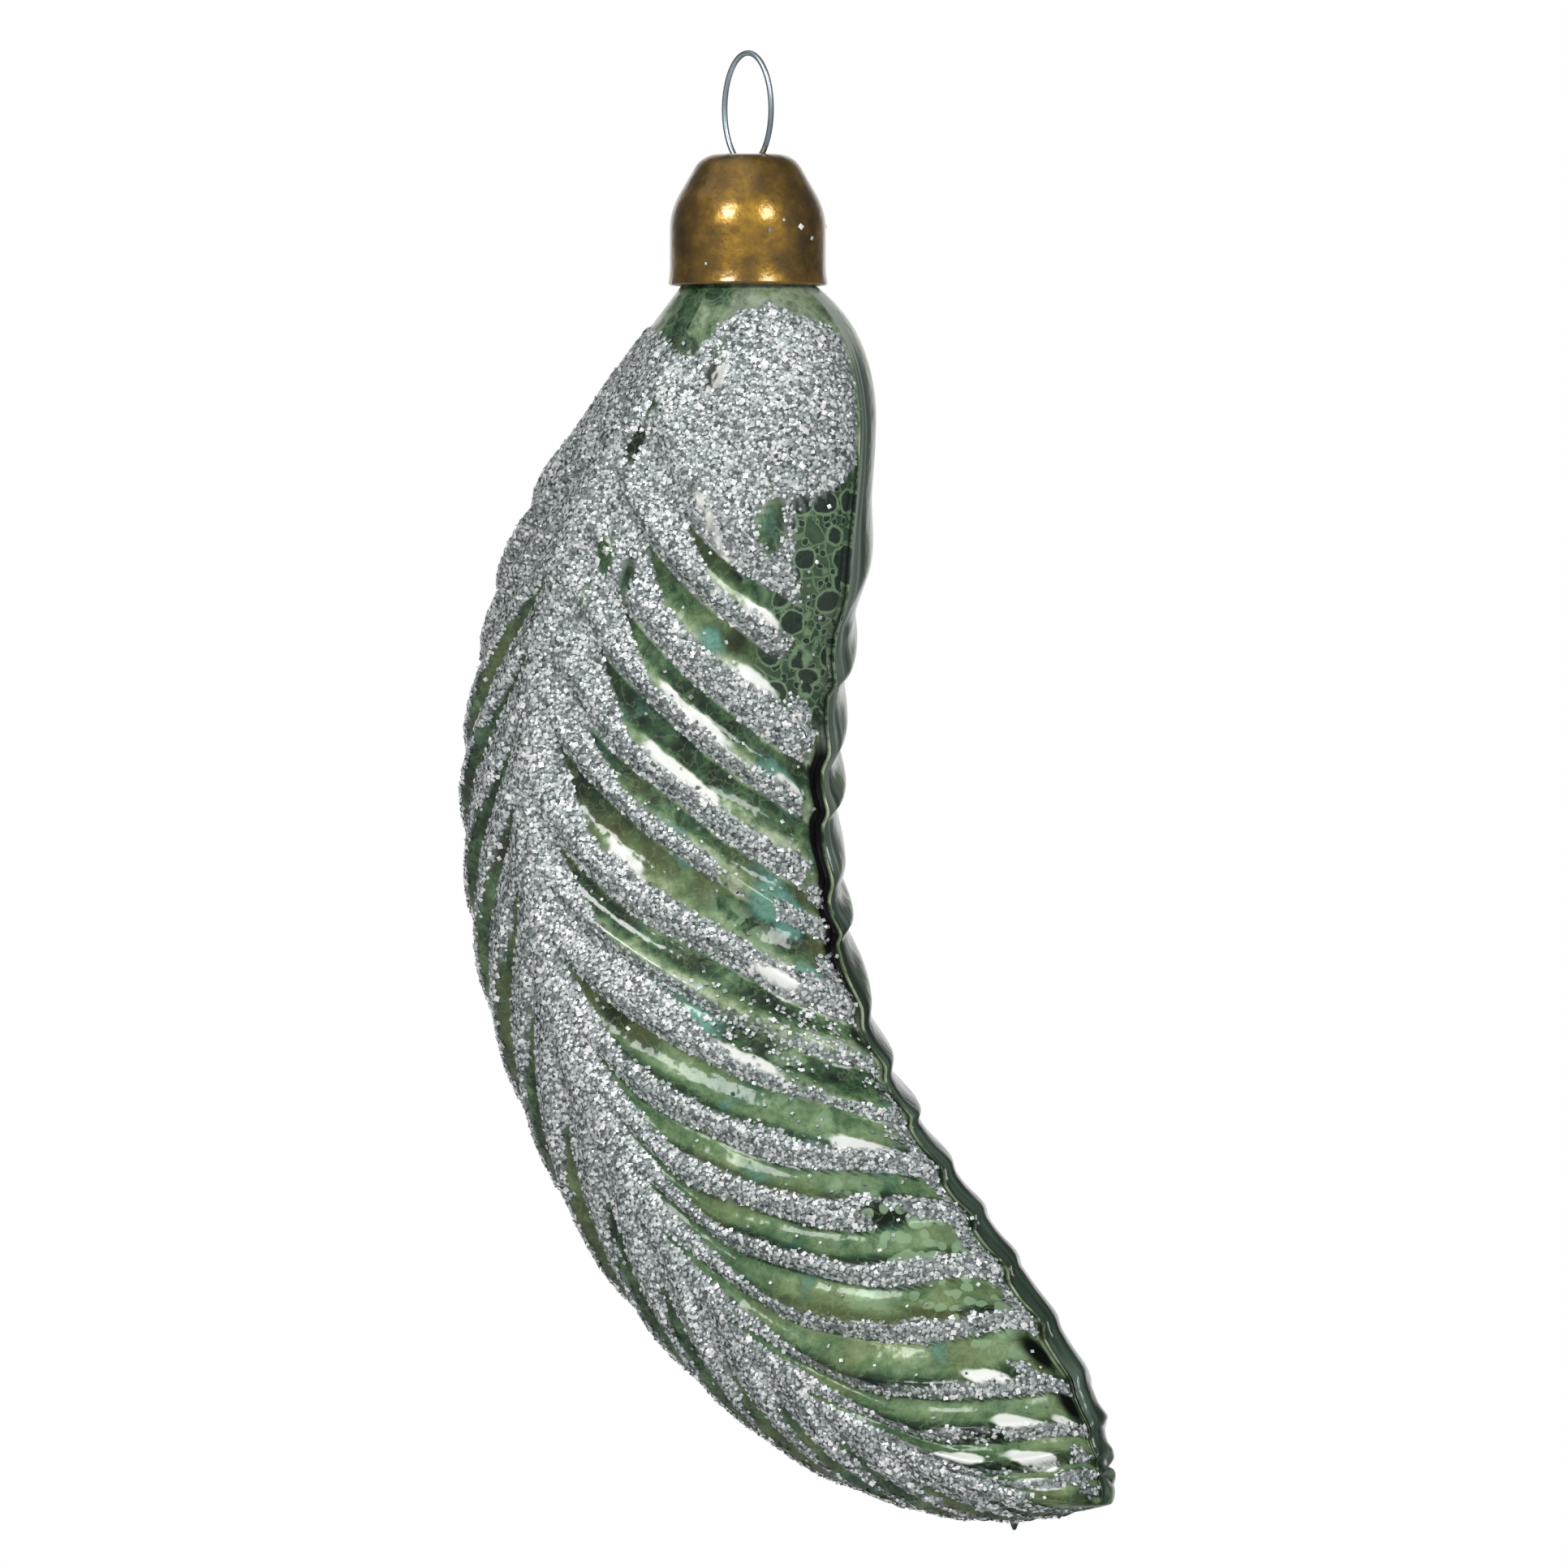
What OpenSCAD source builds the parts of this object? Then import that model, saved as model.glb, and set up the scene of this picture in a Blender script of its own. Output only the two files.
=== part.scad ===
// Blown glass feather ornament: a hollow green glass feather, glitter glued along its barbs,
// a pressed brass cap, and a spring wire hanger whose legs grip the inside of the glass neck.
// The origin is the hang point, inside the top of the wire loop. The front faces -Y and +Z is up.

/* [Hanger wire] */
// Diameter of the spring wire
wire_d = 0.55; // [0.4:0.05:0.8]
// Outside width of the loop
loop_w = 6.2; // [5:0.1:9]
// Height of the hang point above the cap
loop_h = 9.4; // [7:0.1:14]
// Distance between the wires where they enter the cap
waist_gap = 3.4; // [2.8:0.1:4]
// Distance between the straight shanks inside the cap
shank_gap = 2.5; // [2:0.1:2.8]
// How far the wire can be drawn up through the cap
wire_play = 3; // [1:0.5:4]
// How far the legs reach below the cap's rim
leg_reach = 12; // [6:0.5:18]
// Gap between each leg and the bore of the neck
leg_gap = 0.1; // [0.05:0.05:0.3]

/* [Cap] */
// Height of the cap
cap_h = 12.6; // [11:0.2:18]
// Diameter of the flat on top of the cap
cap_flat_d = 5.7; // [5:0.1:8]
// Radius round the edge of the flat
cap_edge_r = 2.6; // [0.8:0.1:3]
// Slope of the cone, measured from the upright
cone_angle = 30; // [25:1:45]
// Radius between the cone and the straight skirt
shoulder_r = 3.5; // [2:0.1:4]
// Thickness of the cap's sheet metal
cap_sheet = 0.4; // [0.3:0.05:0.6]
// How far the rolled rim stands out from the skirt
rim_roll = 0.15; // [0.05:0.05:0.3]
// Room round the wire in each hole of the cap
wire_room = 0.15; // [0.1:0.05:0.3]

/* [Glass neck] */
// Outside diameter of the neck
neck_d = 12.6; // [11:0.1:15]
// Wall of the neck
neck_wall = 1.1; // [0.8:0.1:1.6]
// Room between the neck and the cap's skirt
neck_room = 0.8; // [0.3:0.1:1.2]
// Gap between the cap's rim and the shoulder of the feather
rim_gap = 0.3; // [0.2:0.05:0.6]

/* [Glass feather] */
// How far the tip hangs below the cap's rim
tip_drop = 116; // [100:1:140]
// How far the tip stands to one side of the neck
tip_reach = 42.5; // [34:0.5:52]
// First handle of the convex edge, measured from the neck's centre and the cap's rim
convex_1 = [-20, -18.5]; // [-60:0.5:60]
// Second handle of the convex edge
convex_2 = [-62.5, -41]; // [-90:0.5:60]
// Third handle of the convex edge
convex_3 = [-16, -130.5]; // [-170:0.5:60]
// First handle of the concave edge
concave_1 = [35, -18.5]; // [-60:0.5:60]
// Second handle of the concave edge
concave_2 = [-32, -70]; // [-90:0.5:60]
// Third handle of the concave edge
concave_3 = [41.5, -84.5]; // [-130:0.5:60]
// Thickness of the feather from front to back
feather_thick = 30; // [24:0.5:36]
// Wall of the glass under the grooves
glass_wall = 0.9; // [0.6:0.1:1.4]
// Fullness of the cross-section: 2 is an ellipse, less is sharper at the shaft and the seam
section_power = 1.8; // [1.6:0.05:2]
// How far the shaft lies towards the convex edge, as a share of the half width
shaft_offset = 0.22; // [0:0.01:0.35]
// Diameter of the small pip where the glass was sealed off
pip_d = 0.9; // [0.6:0.1:1.4]
// How far the pip stands out below the glass
pip_h = 1.2; // [0.8:0.1:2]

/* [Barbs] */
// Number of barbs on each vane
barb_count = 17; // [14:1:20]
// Height of a barb's crest above the groove beside it
barb_depth = 1.1; // [0.5:0.1:1.5]
// How far a barb's outer end lies below its root
barb_sweep = 25; // [12:1:28]
// Where the crest lies between two grooves
crest_at = 0.72; // [0.5:0.02:0.8]
// Height of the shaft's ridge
shaft_h = 0.8; // [0.2:0.1:1.4]

/* [Glitter] */
// Thickness of the glue and glitter
glitter_t = 0.4; // [0.25:0.05:0.8]
// Gap between the glue and the glass
glue_gap = 0.03; // [0.02:0.01:0.1]
// Barbs at the top that the glitter covers from seam to seam
crown_barbs = 2; // [1:1:4]

/* [Hidden] */
$fn = 48;

wire_r = wire_d / 2;
neck_r = neck_d / 2;
bore_r = neck_r - neck_wall;
cap_r = neck_r + neck_room + cap_sheet;
cap_top_z = -loop_h;
rim_z = cap_top_z - cap_h;
// The feather begins to swell this far above the place where the rim would touch it.
swell_h = 0.5;
root_z = rim_z + swell_h - rim_gap;
// The shell begins a little inside the wall of the neck, which runs down into it.
root_in = 0.05;
root_r = neck_r - root_in;

// Centres of the two arcs in the cap's outline, joined by the cone that touches both
edge_c = [cap_flat_d / 2, cap_h - cap_edge_r];
shoulder_c_r = cap_r - shoulder_r;
skirt_h = edge_c.y + (cap_edge_r - shoulder_r - (shoulder_c_r - edge_c.x) * cos(cone_angle)) / sin(cone_angle);
// The neck ends just below the top of the cap's straight skirt, and runs down into the shell.
neck_short = 0.3;
neck_in = 0.3;
neck_top_z = rim_z + skirt_h - neck_short;

function ease(x) = let (k = max(0, min(1, x))) k * k * (3 - 2 * k);
function signed_pow(x, e) = sign(x) * pow(abs(x), e);
function arc(c, r, from, to, steps) =
    [for (i = [0 : steps]) let (a = from + (to - from) * i / steps) [c.x + r * cos(a), c.y + r * sin(a)]];

// Quartic curve between two end points, drawn towards three handles
function curve(p, t) =
    pow(1 - t, 4) * p[0] + 4 * pow(1 - t, 3) * t * p[1] + 6 * pow(1 - t, 2) * t * t * p[2]
    + 4 * (1 - t) * pow(t, 3) * p[3] + pow(t, 4) * p[4];
function below_rim(p) = [p.x, rim_z + p.y];
tip = [tip_reach, rim_z - tip_drop];
convex_edge = [[-root_r, root_z], below_rim(convex_1), below_rim(convex_2), below_rim(convex_3), tip];
concave_edge = [[root_r, root_z], below_rim(concave_1), below_rim(concave_2), below_rim(concave_3), tip];

// Half thickness, where t runs from 0 at the neck to 1 at the tip: the neck's radius at the top,
// full at full_at, and blunt at the tip
full_at = 0.28;
tip_bluntness = 6.2;
function half_thick(t) =
    (root_r + (feather_thick / 2 - root_r) * (1 - pow(1 - min(t / full_at, 1), 2)))
    * sqrt(max(0, 1 - pow(t, tip_bluntness)));

// A point of the smooth feather, moved outwards by lift. The angle round the section is 0 at the
// front shaft, 90 at the seam on the concave edge, 180 at the back shaft and 270 at the other seam.
function skin(t, angle, lift) =
    let (
        left = curve(convex_edge, t),
        right = curve(concave_edge, t),
        middle = (left + right) / 2,
        half = (right - left) / 2,
        a = max(norm(half), 0.01),
        b = max(half_thick(t), 0.01),
        across = half / a,
        power = 2 - (2 - section_power) * ease(t / 0.15),
        sx = signed_pow(sin(angle), 2 / power),
        sy = -signed_pow(cos(angle), 2 / power),
        n = [signed_pow(sx, power - 1) / a, signed_pow(sy, power - 1) / b],
        out = lift * n / norm(n),
        u = a * (sx - shaft_offset * ease(t / 0.25) * (1 - abs(sx))) + out.x
    )
    [middle.x + across.x * u, b * sy + out.y, middle.y + across.y * u];

// Place on a vane: 0 at the shaft, 1 at the seam
function vane_place(angle) = let (k = (angle + 360) % 180) (k <= 90 ? k : 180 - k) / 90;

// Each barb sweeps towards the tip on its way from the shaft to the seam, least at both ends.
sweep_t = barb_sweep / (1.25 * tip_drop);
function swept(root, w) =
    let (
        start = 1 - pow(1 - min(root / 0.15, 1), 2),
        end = 1 - pow(max(0, (root - 0.6) / 0.4), 2)
    )
    root + sweep_t * (1.7 * w - 0.7 * w * w) * start * end;

// Grooves along the shaft. A place q is the number of a barb, plus its share of the way to the next groove.
first_groove = 0.056;
last_groove = 0.94;
barb_pitch = (last_groove - first_groove) / barb_count;
function groove(q) = first_groove + q * barb_pitch;
function place_of(root) = (root - first_groove) / barb_pitch;

// Right of the shaft the mould is uneven: each groove lies this many pitches below its even place.
right_shift = [0, 0.5, 0.3, 0.33, 0.12, 0.2, -0.15, 0.15, -0.05, -0.2, 0.17, 0.22, 0.15, 0.3, 0.65, 0.84, 0.75, 0.35];
shifts = [for (i = [0 : len(right_shift) - 1]) [i * barb_count / (len(right_shift) - 1), right_shift[i]]];

// The lower barbs there also curl up, near the shaft and on the way to the seam.
function curl(w) = ease((w - 0.35) / 0.55) + 1.2 * (1 - ease(w / 0.2));
function right_groove(q, w) =
    let (
        fade = 1 - ease((q - barb_count) / 0.9),
        k = q + lookup(q, shifts) * fade,
        bend = max(0, min(0.8, (k / barb_count - 0.5) / 0.2))
    )
    groove(k - curl(w) * bend * fade);
function root_at(q, angle) =
    let (a = (angle + 360) % 360) a > 0 && a < 180 ? right_groove(q, vane_place(angle)) : groove(q);

// Height over the smooth feather: a hollow rise to each crest, a short drop to the next groove,
// and the round ridge of the shaft
mean_rise = 0.45;
function barb_rise(f) =
    f < crest_at ? pow(sin(90 * pow(f / crest_at, 1.6)), 2) : (1 + cos(180 * (f - crest_at) / (1 - crest_at))) / 2;
function relief(q, root, w) =
    let (
        along = ease((root - 0.03) / 0.1) * ease((0.97 - root) / 0.06),
        over_vane = ease(w / 0.2) * (1 - 0.35 * w * w),
        ridge = (1 - ease(w / 0.13)) * (1 - 0.6 * root) * ease(root / 0.12) * ease((1 - root) / 0.05)
    )
    barb_depth * (barb_rise(q - floor(q)) - mean_rise) * over_vane * along + shaft_h * ridge;
function glass(q, angle, lift) =
    let (w = vane_place(angle), root = root_at(q, angle)) skin(swept(root, w), angle, relief(q, root, w) + lift);

// Rows follow the barbs, five to each barb. Columns run round the section from the front shaft.
barb_rows = [0, crest_at / 3, crest_at * 2 / 3, crest_at, (1 + crest_at) / 2];
rows = concat([for (root = [0, 0.02, 0.038]) place_of(root)],
              [for (k = [0 : barb_count - 1]) for (f = barb_rows) k + f],
              [barb_count],
              [for (root = [0.958, 0.974, 0.988]) place_of(root)]);
right_half = [0.07, 0.16, 0.3, 0.5, 0.72, 0.9];
half_turn = concat([0], 90 * right_half, [90], [for (i = [5 : -1 : 0]) 180 - 90 * right_half[i]]);
columns = concat(half_turn, [for (angle = half_turn) angle + 180]);

// Triangles between two rings of n points that start at points a and b
function band(a, b, n) =
    [for (j = [0 : n - 1]) let (k = (j + 1) % n) each [[a + j, a + k, b + k], [a + j, b + k, b + j]]];

// A coat of glue and glitter on the glass, over the given rows and angles
module coat(places, angles) {
    nr = len(places);
    nc = len(angles);
    under = [for (q = places) for (angle = angles) glass(q, angle, glue_gap)];
    over = [for (q = places) for (angle = angles) glass(q, angle, glue_gap + glitter_t)];
    m = nr * nc;
    border = concat([for (j = [0 : nc - 2]) j],
                    [for (i = [0 : nr - 2]) i * nc + nc - 1],
                    [for (j = [nc - 1 : -1 : 1]) (nr - 1) * nc + j],
                    [for (i = [nr - 1 : -1 : 1]) i * nc]);
    faces = concat(
        [for (i = [0 : nr - 2]) for (j = [0 : nc - 2]) let (p = m + i * nc + j)
            each [[p, p + 1, p + nc + 1], [p, p + nc + 1, p + nc]]],
        [for (i = [0 : nr - 2]) for (j = [0 : nc - 2]) let (p = i * nc + j)
            each [[p + nc + 1, p + 1, p], [p + nc, p + nc + 1, p]]],
        [for (e = [0 : len(border) - 1]) let (p = border[e], q = border[(e + 1) % len(border)])
            each [[p, q, q + m], [p, q + m, p + m]]]);
    polyhedron(concat(under, over), faces, convexity = 6);
}

// Wire bent in the XZ plane: an oval loop, straight shanks, and legs that spread to the neck's bore
loop_r = (loop_w - wire_d) / 2;
waist_angle = 180 - asin(waist_gap / 2 / loop_r);
oval_r = (loop_h + wire_r) / (1 - cos(waist_angle));
shank_in = 1.2;
bend_room = 0.6;
shank_z = cap_top_z - shank_in;
spread_z = shank_z - wire_play - bend_room;
spread_h = 5.5;
leg_x = bore_r - leg_gap - wire_r;
wire_half = concat(
    [for (i = [1 : 12]) let (a = waist_angle * i / 12) [loop_r * sin(a), wire_r + oval_r * (cos(a) - 1)]],
    [for (i = [1 : 3]) let (k = i / 3)
        [(waist_gap + (shank_gap - waist_gap) * k * (2 - k)) / 2, cap_top_z + (shank_z - cap_top_z) * k]],
    [for (i = [0 : 8]) let (k = i / 8)
        [shank_gap / 2 + (leg_x - shank_gap / 2) * ease(k), spread_z - spread_h * k]],
    [[leg_x, rim_z - leg_reach]]);
last = len(wire_half) - 1;
wire_path = concat([for (i = [last : -1 : 0]) [-wire_half[i].x, wire_half[i].y]],
                   [[0, wire_r]], wire_half);

module hanger_wire() {
    n = len(wire_path);
    sides = 12;
    points = [for (i = [0 : n - 1])
        let (d = wire_path[min(i + 1, n - 1)] - wire_path[max(i - 1, 0)], side = [-d.y, d.x] / norm(d))
        for (j = [0 : sides - 1])
            let (out = wire_r * sin(360 * j / sides))
            [wire_path[i].x + side.x * out, wire_r * cos(360 * j / sides), wire_path[i].y + side.y * out]];
    faces = concat([for (i = [0 : n - 2]) each band((i + 1) * sides, i * sides, sides)],
                   [[for (j = [0 : sides - 1]) j]],
                   [[for (j = [sides - 1 : -1 : 0]) (n - 1) * sides + j]]);
    color("lightsteelblue") polyhedron(points, faces, convexity = 6);
}

// Outline of the cap from its axis down to the rim, moved inwards by inset
function cap_outline(inset) = concat(
    [[0, cap_h - inset]],
    arc(edge_c, cap_edge_r - inset, 90, cone_angle, 5),
    arc([shoulder_c_r, skirt_h], shoulder_r - inset, cone_angle, 0, 5));
rim_r = (cap_sheet + rim_roll) / 2;

module cap() {
    outside = cap_outline(0);
    inside = cap_outline(cap_sheet);
    rim = arc([cap_r - cap_sheet + rim_r, rim_r], rim_r, 60, -180, 8);
    hole_x = (waist_gap + shank_gap) / 4;
    hole_r = (waist_gap - shank_gap) / 4 + wire_r + wire_room;
    color("darkgoldenrod") translate([0, 0, rim_z]) difference() {
        rotate_extrude() polygon(concat(outside, [[cap_r, 2.2 * rim_r]], rim,
                                        [for (i = [len(inside) - 1 : -1 : 0]) inside[i]]));
        for (s = [-1, 1])
            translate([s * hole_x, 0, cap_h - 3 * cap_sheet]) cylinder(h = 6 * cap_sheet, r = hole_r);
    }
}

module glass_shell() {
    n = len(columns);
    nr = len(rows);
    inset = glass_wall + mean_rise * barb_depth;
    root_wall = neck_wall - 2 * root_in;
    inner_rows = [for (i = [0 : 22]) 0.945 * pow(i / 22, 1.15)];
    outer = [for (q = rows) for (angle = columns) glass(q, angle, 0)];
    inner = [for (t = inner_rows) for (angle = columns)
        skin(t, angle, -root_wall - (inset - root_wall) * ease(t / 0.06))];
    back_t = 0.958;
    back = (curve(convex_edge, back_t) + curve(concave_edge, back_t)) / 2;
    points = concat(outer, inner, [[tip.x, 0, tip.y], [back.x, 0, back.y]]);
    inside = len(outer);
    ends = inside + len(inner);
    faces = concat(
        [for (i = [0 : nr - 2]) each band(i * n, (i + 1) * n, n)],
        [for (j = [0 : n - 1]) [(nr - 1) * n + j, (nr - 1) * n + (j + 1) % n, ends]],
        [for (i = [0 : len(inner_rows) - 2]) each band(inside + (i + 1) * n, inside + i * n, n)],
        [for (j = [0 : n - 1]) [ends - n + (j + 1) % n, ends - n + j, ends + 1]],
        band(inside, 0, n));
    polyhedron(points, faces, convexity = 8);
}

module glass_feather() {
    lip_r = neck_wall / 2;
    pip_in = 0.7;
    pip = skin(0.955, 270, 0);
    color("seagreen") {
        union() {
            glass_shell();
            rotate_extrude()
                polygon(concat([[bore_r, root_z - neck_in], [neck_r, root_z - neck_in]],
                               arc([neck_r - lip_r, neck_top_z - lip_r], lip_r, 0, 180, 8)));
            translate(pip - [0, 0, pip_h]) cylinder(h = pip_h + pip_in, d1 = pip_d * 0.8, d2 = pip_d);
        }
    }
}

front = concat([for (i = [5 : -1 : 0]) -90 * right_half[i]], [0], 90 * right_half);

module glitter_crown() {
    color("silver") coat([for (q = rows) if (q > -0.5 && q < crown_barbs + 0.01) q], front);
}

module glitter_shaft() {
    color("silver")
        coat([for (q = rows) if (q > crown_barbs - 0.01 && q < barb_count + 0.5) q],
             [-90 * right_half[0], 0, 90 * right_half[0]]);
}

module glitter_lines(angles) {
    for (k = [crown_barbs : barb_count - 2])
        coat([for (f = [barb_rows[2], barb_rows[3], barb_rows[4]]) k + f], angles);
}

module glitter_right_barbs() {
    color("silver") glitter_lines(90 * right_half);
}

module glitter_left_barbs() {
    color("silver") glitter_lines([for (i = [5 : -1 : 0]) -90 * right_half[i]]);
}

hanger_wire();
cap();
glass_feather();
glitter_crown();
glitter_shaft();
glitter_right_barbs();
glitter_left_barbs();
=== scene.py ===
import math

import bpy
import numpy as np
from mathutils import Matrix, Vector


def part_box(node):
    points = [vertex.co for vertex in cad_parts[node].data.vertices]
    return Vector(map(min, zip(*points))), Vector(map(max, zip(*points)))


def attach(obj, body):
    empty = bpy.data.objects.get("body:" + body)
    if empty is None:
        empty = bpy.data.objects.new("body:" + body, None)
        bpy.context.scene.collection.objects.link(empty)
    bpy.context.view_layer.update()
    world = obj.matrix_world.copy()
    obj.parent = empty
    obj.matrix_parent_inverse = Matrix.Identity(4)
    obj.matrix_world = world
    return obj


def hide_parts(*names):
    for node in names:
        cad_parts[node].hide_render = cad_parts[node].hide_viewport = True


# Looks of a blown glass feather ornament. Sizes are in millimetres until a mesh is made.
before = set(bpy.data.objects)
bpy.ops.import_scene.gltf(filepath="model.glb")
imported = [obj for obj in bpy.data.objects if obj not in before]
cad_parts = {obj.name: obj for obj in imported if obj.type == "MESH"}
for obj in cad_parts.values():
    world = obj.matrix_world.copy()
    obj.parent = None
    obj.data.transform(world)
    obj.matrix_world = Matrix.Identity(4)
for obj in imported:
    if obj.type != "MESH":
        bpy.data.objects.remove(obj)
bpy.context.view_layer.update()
mm = 0.001
rimZ, capTopZ = (corner[2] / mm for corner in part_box("cap"))
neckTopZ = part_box("glass_feather")[1][2] / mm
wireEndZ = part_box("hanger_wire")[0][2] / mm
print("frame loaded, rim at", round(rimZ, 2), "mm")


def hexColor(code):  # sRGB hex to linear
    s = np.array([int(code[i:i + 2], 16) / 255 for i in (1, 3, 5)])
    linear = np.where(s <= 0.04045, s / 12.92, ((s + 0.055) / 1.055) ** 2.4)
    return (*linear.tolist(), 1.0)


def addNode(tree, kind, links=None, out=0, stops=None, **settings):  # gives back one output to link on
    made = tree.nodes.new(kind)
    for key, value in settings.items():
        setattr(made, key, value)
    if stops:
        while len(made.color_ramp.elements) < len(stops):
            made.color_ramp.elements.new(0.5)
        for element, (place, tone) in zip(made.color_ramp.elements, stops):
            element.position = place
            element.color = hexColor(tone) if isinstance(tone, str) else (tone, tone, tone, 1)
    for key, value in (links or {}).items():
        if isinstance(value, bpy.types.NodeSocket):
            tree.links.new(value, made.inputs[key])
        else:
            made.inputs[key].default_value = hexColor(value) if isinstance(value, str) else value
    return made.outputs[out] if len(made.outputs) else made


colorMix = dict(out=2, data_type="RGBA")  # settings of a mix of two colours


def newMaterial(name):  # a material with an empty node tree
    made = bpy.data.materials.new(name)
    made.use_nodes = True
    made.node_tree.nodes.clear()
    return made, made.node_tree


def perSize(size):  # texture scale of a pattern whose features are this many millimetres apart
    return 1 / (size * mm)


def ease(x):  # 0 below 0, 1 above 1, smooth between
    k = np.clip(x, 0, 1)
    return k * k * (3 - 2 * k)


def wobble(x, y, seed):  # smooth field between about -1 and 1: five waves of unlike lengths and directions
    total = 0
    for i, rate in enumerate((1.0, 1.31, 1.73, 2.09, 2.61)):
        a = seed * 1.37 + i * 2.4
        total = total + np.sin(rate * (x * np.cos(a) + y * np.sin(a)) + 3.1 * a)
    return total / 2.6


# The feather's surface, by the same formulas as the solids. Places along it run from 0 (neck) to 1 (tip).
feather = dict(
    convexHandles=((-20, -18.5), (-62.5, -41), (-16, -130.5)),  # from the neck's axis and the cap's rim
    concaveHandles=((35, -18.5), (-32, -70), (41.5, -84.5)),
    tip=(42.5, -116), thick=30, fullAt=0.28, tipBluntness=6.2,
    sectionPower=1.8, powerFrom=0.15, shaftOffset=0.22, offsetFrom=0.25,
    neckRadius=6.3, neckWall=1.1, glassWall=0.9, rootUp=0.2, rootStep=0.05,
    barbCount=17, barbDepth=1.1, depthSpread=0.18, barbSweep=25, crestAt=0.72, meanRise=0.45,
    firstGroove=0.056, lastGroove=0.94, shaftRise=0.8, seamRise=0.28, unevenRise=0.12,
    fuller=1.0, lowered=0.6,  # beside the lower right seam: how full the back is, and the share off the barbs
    rightShift=(0, 0.5, 0.3, 0.33, 0.12, 0.2, -0.15, 0.15, -0.05,  # of each right groove, in barbs
                -0.2, 0.17, 0.22, 0.15, 0.3, 0.65, 0.84, 0.75, 0.35),
)
rootZ = rimZ + feather["rootUp"]
rootRadius = feather["neckRadius"] - feather["rootStep"]
barbPitch = (feather["lastGroove"] - feather["firstGroove"]) / feather["barbCount"]


def railPoint(start, handles, t):  # quartic curve from the neck to the tip, drawn towards three handles
    knots = [np.array(start)] + [np.array(h) + (0, rimZ) for h in (*handles, feather["tip"])]
    weights = [(1 - t) ** 4, 4 * (1 - t) ** 3 * t, 6 * (1 - t) ** 2 * t ** 2, 4 * (1 - t) * t ** 3, t ** 4]
    return sum(w[..., None] * k for w, k in zip(weights, knots))


def signedPower(x, e):  # the size of x to the power e, with the sign of x
    return np.sign(x) * np.abs(x) ** e


def halfThick(t):  # the neck's radius at the top, full at fullAt, blunt at the tip
    swell = 1 - (1 - np.minimum(t / feather["fullAt"], 1)) ** 2
    full = rootRadius + (feather["thick"] / 2 - rootRadius) * swell
    return full * np.sqrt(np.maximum(1 - t ** feather["tipBluntness"], 0))


def smoothSkin(t, angle, lift):  # superellipse between the two seams, pushed outwards by lift
    t, angle, lift = np.broadcast_arrays(*np.atleast_1d(t, angle, lift))
    left = railPoint((-rootRadius, rootZ), feather["convexHandles"], t)
    right = railPoint((rootRadius, rootZ), feather["concaveHandles"], t)
    middle, half = (left + right) / 2, (right - left) / 2
    a = np.maximum(np.linalg.norm(half, axis=-1), 0.01)
    b = np.maximum(halfThick(t), 0.01)
    power = 2 - (2 - feather["sectionPower"]) * ease(t / feather["powerFrom"])
    sx, sy = signedPower(np.sin(angle), 2 / power), -signedPower(np.cos(angle), 2 / power)
    nx, ny = signedPower(sx, power - 1) / a, signedPower(sy, power - 1) / b
    size = np.hypot(nx, ny)
    offset = feather["shaftOffset"] * ease(t / feather["offsetFrom"])  # the shaft lies left of the middle
    u = a * (sx - offset * (1 - np.abs(sx))) + lift * nx / size
    across = half / a[..., None]
    return np.stack([middle[..., 0] + across[..., 0] * u, b * sy + lift * ny / size,
                     middle[..., 1] + across[..., 1] * u], -1)


def vanePlace(angle):  # 0 at the shaft, 1 at the seam
    k = np.mod(angle, math.pi)
    return np.where(k <= math.pi / 2, k, math.pi - k) / (math.pi / 2)


def vaneOf(angle):  # 0 front right, 1 back right, 2 back left, 3 front left
    return np.minimum(np.floor(np.mod(angle, 2 * math.pi) / (math.pi / 2)), 3).astype(int)


def sweptAlong(root, w):  # a barb that leaves the shaft at root has come this far at w
    start = 1 - (1 - np.minimum(root / 0.15, 1)) ** 2
    end = 1 - np.maximum(0, (root - 0.6) / 0.4) ** 2
    sweep = feather["barbSweep"] / (-1.25 * feather["tip"][1])
    return root + sweep * (1.7 * w - 0.7 * w * w) * start * end


def barbPhase(root, w, vane):
    # Barb number and place between its grooves. Left ones are even, right ones are shifted, and the lower
    # right ones curl up at the shaft and at the seam. A small drift bends them all.
    k = (root - feather["firstGroove"]) / barbPitch
    count = feather["barbCount"]
    curl = ease((w - 0.35) / 0.55) + 1.2 * (1 - ease(w / 0.2))
    bend = np.clip((k - 0.5 * count) / (0.2 * count - curl), 0, 0.8)
    even = np.arange(count + 1)
    grooves = (-3, *(even + feather["rightShift"]), count + 3.35)
    uneven = np.interp(k + curl * bend, grooves, (-3, *even, count + 3))
    k = np.where(vane < 2, uneven, k)
    drift = 0.06 * wobble(w * 4.0, root * 26.0, vane) + 0.03 * wobble(w * 11.0, root * 60.0, vane + 5)
    k = k + drift * ease(w / 0.15) * ease((1 - w) / 0.12)
    return np.floor(k), k - np.floor(k)


def barbRise(f):  # hollow rise that is steepest just before the crest, then a short drop to the groove
    c = feather["crestAt"]
    rise = np.sin(math.pi / 2 * np.minimum(f / c, 1) ** 1.6) ** 2
    return np.where(f < c, rise, (1 + np.cos(math.pi * (f - c) / (1 - c))) / 2)


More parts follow.
